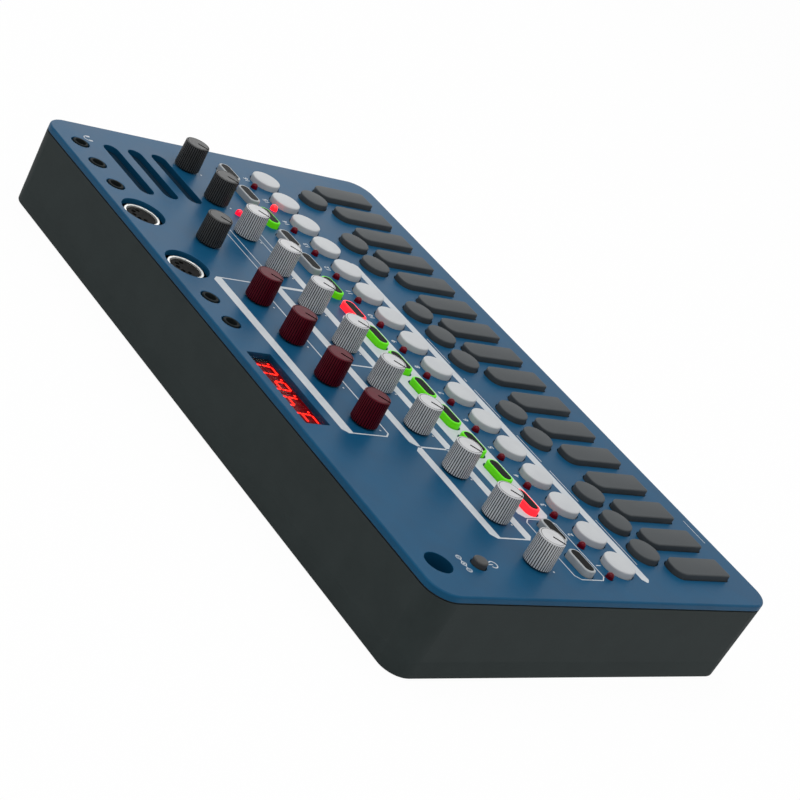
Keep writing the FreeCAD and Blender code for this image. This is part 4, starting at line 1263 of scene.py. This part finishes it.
KEY_TOP = 38.6
KEY_SOFT = 0.55
BUTTON_TOP = 38.7
STEP_SOFT = 0.6
FUNCTION_SOFT = 0.45
INLAY_HALF = 5.75
INLAY_DEEP = 2.1
INLAY_ROUND = 2.05
INLAY_LOW = BUTTON_TOP - 0.2
INLAY_TOP = BUTTON_TOP + 0.03
GREEN_BUTTONS = (4, 5, 6, 7, 8, 9, 11, 14)
RED_BUTTONS = (3, 10)
POWER_TOP = 38.4
POWER_SOFT = 0.7


def long_cap(left, right, front, rear, rounds, top, soft, steps):
    """The loops of a long cap with a soft upper edge."""
    return soft_edge(lambda z, inset: rounded(left, right, front, rear, z, *rounds, steps, inset),
                     INSIDE, top, soft)


def round_cap(x, y, radius, top, soft, sides, steps):
    """The loops of a round cap with a soft upper edge."""
    return soft_edge(lambda z, inset: ring(x, y, z, radius - inset, sides), INSIDE, top, soft,
                     steps)


def make_long_keys():
    """Each long key, in its column."""
    for index in range(COLUMNS):
        x = column(index)
        key = Shape(key_rubber)
        key.wall(long_cap(x - KEY_HALF, x + KEY_HALF, KEY_FRONT, KEY_REAR, KEY_ROUNDS, KEY_TOP,
                          KEY_SOFT, 10))
        name = "long_key_%02d" % (index + 1)
        key.made(name + "_cap", name, [name], "key_dark")


def make_round_keys():
    """Each round key, in the place of its CAD node."""
    for name in sorted(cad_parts):
        if name.startswith("round_key"):
            key = Shape(key_rubber)
            key.wall(round_cap(*middle(name), ROUND_KEY_RADIUS, KEY_TOP, KEY_SOFT, 56, 4))
            key.made(name + "_cap", name, [name], "key_dark")


def make_step_buttons():
    """The row of round buttons."""
    caps = Shape(white_plastic)
    for index in range(COLUMNS):
        caps.wall(round_cap(column(index), STEP_ROW, STEP_RADIUS, BUTTON_TOP, STEP_SOFT, 64, 5))
    caps.made("step_button_caps", "step_buttons", ["step_buttons"], "button_white")


def button_finish(index):
    """The finish of a flat button: lit green, lit red or plain."""
    if index + 1 in GREEN_BUTTONS:
        return green_lit
    return red_lit if index + 1 in RED_BUTTONS else pale_plastic


def make_function_buttons():
    """The row of flat buttons, some of them lit, each with a dark inlay."""
    caps = Shape(pale_plastic, green_lit, red_lit, ink_dark)
    for index in range(COLUMNS):
        x = column(index)
        caps.wall(long_cap(x - FUNCTION_HALF, x + FUNCTION_HALF, FUNCTION_ROW - FUNCTION_DEEP,
                           FUNCTION_ROW + FUNCTION_DEEP, (FUNCTION_ROUND, FUNCTION_ROUND),
                           BUTTON_TOP, FUNCTION_SOFT, 8), button_finish(index))
        caps.block(x - INLAY_HALF, x + INLAY_HALF, FUNCTION_ROW - INLAY_DEEP,
                   FUNCTION_ROW + INLAY_DEEP, INLAY_LOW, INLAY_TOP, INLAY_ROUND, 8, ink_dark)
    caps.made("function_button_caps", "function_buttons", ["function_buttons"], "button_pale")


def make_power_button():
    """The small dark power button."""
    cap = Shape(black_plastic)
    cap.wall(round_cap(*middle("power_button"), POWER_RADIUS, POWER_TOP, POWER_SOFT, 40, 5))
    cap.made("power_button_cap", "power_button", ["power_button"], "button_dark")


make_long_keys()
make_round_keys()
make_step_buttons()
make_function_buttons()
make_power_button()


# Indicator lamps

LIT_STEP = 15
LAMP_RADIUS = 1.45
LAMP_SIDES = 28
DOME_FOOT = 37.1
DOME_RISE = 1.3
DOME_STEPS = 6
DOME_END = 84  # the angle of the last loop, in degrees


def make_lamps():
    """Red lamps with domed tops: one of the row is lit, and the lone one glows lower."""
    lamps = [(column(index) + LAMP_OFFSET, LAMP_ROW,
              lamp_lit if index + 1 == LIT_STEP else lamp_dark) for index in range(COLUMNS)]
    lamps.append((*FREE_LAMP, lamp_low))
    domes = Shape(lamp_dark, lamp_lit, lamp_low)
    for x, y, coat in lamps:
        loops = [ring(x, y, INSIDE, LAMP_RADIUS, LAMP_SIDES)]
        for step in range(DOME_STEPS + 1):
            angle = math.radians(DOME_END * step / DOME_STEPS)
            loops.append(ring(x, y, DOME_FOOT + DOME_RISE * math.sin(angle),
                              LAMP_RADIUS * math.cos(angle), LAMP_SIDES))
        domes.wall(loops, coat)
    domes.made("lamp_domes", "case", ["status_leds"], "led_red")


make_lamps()
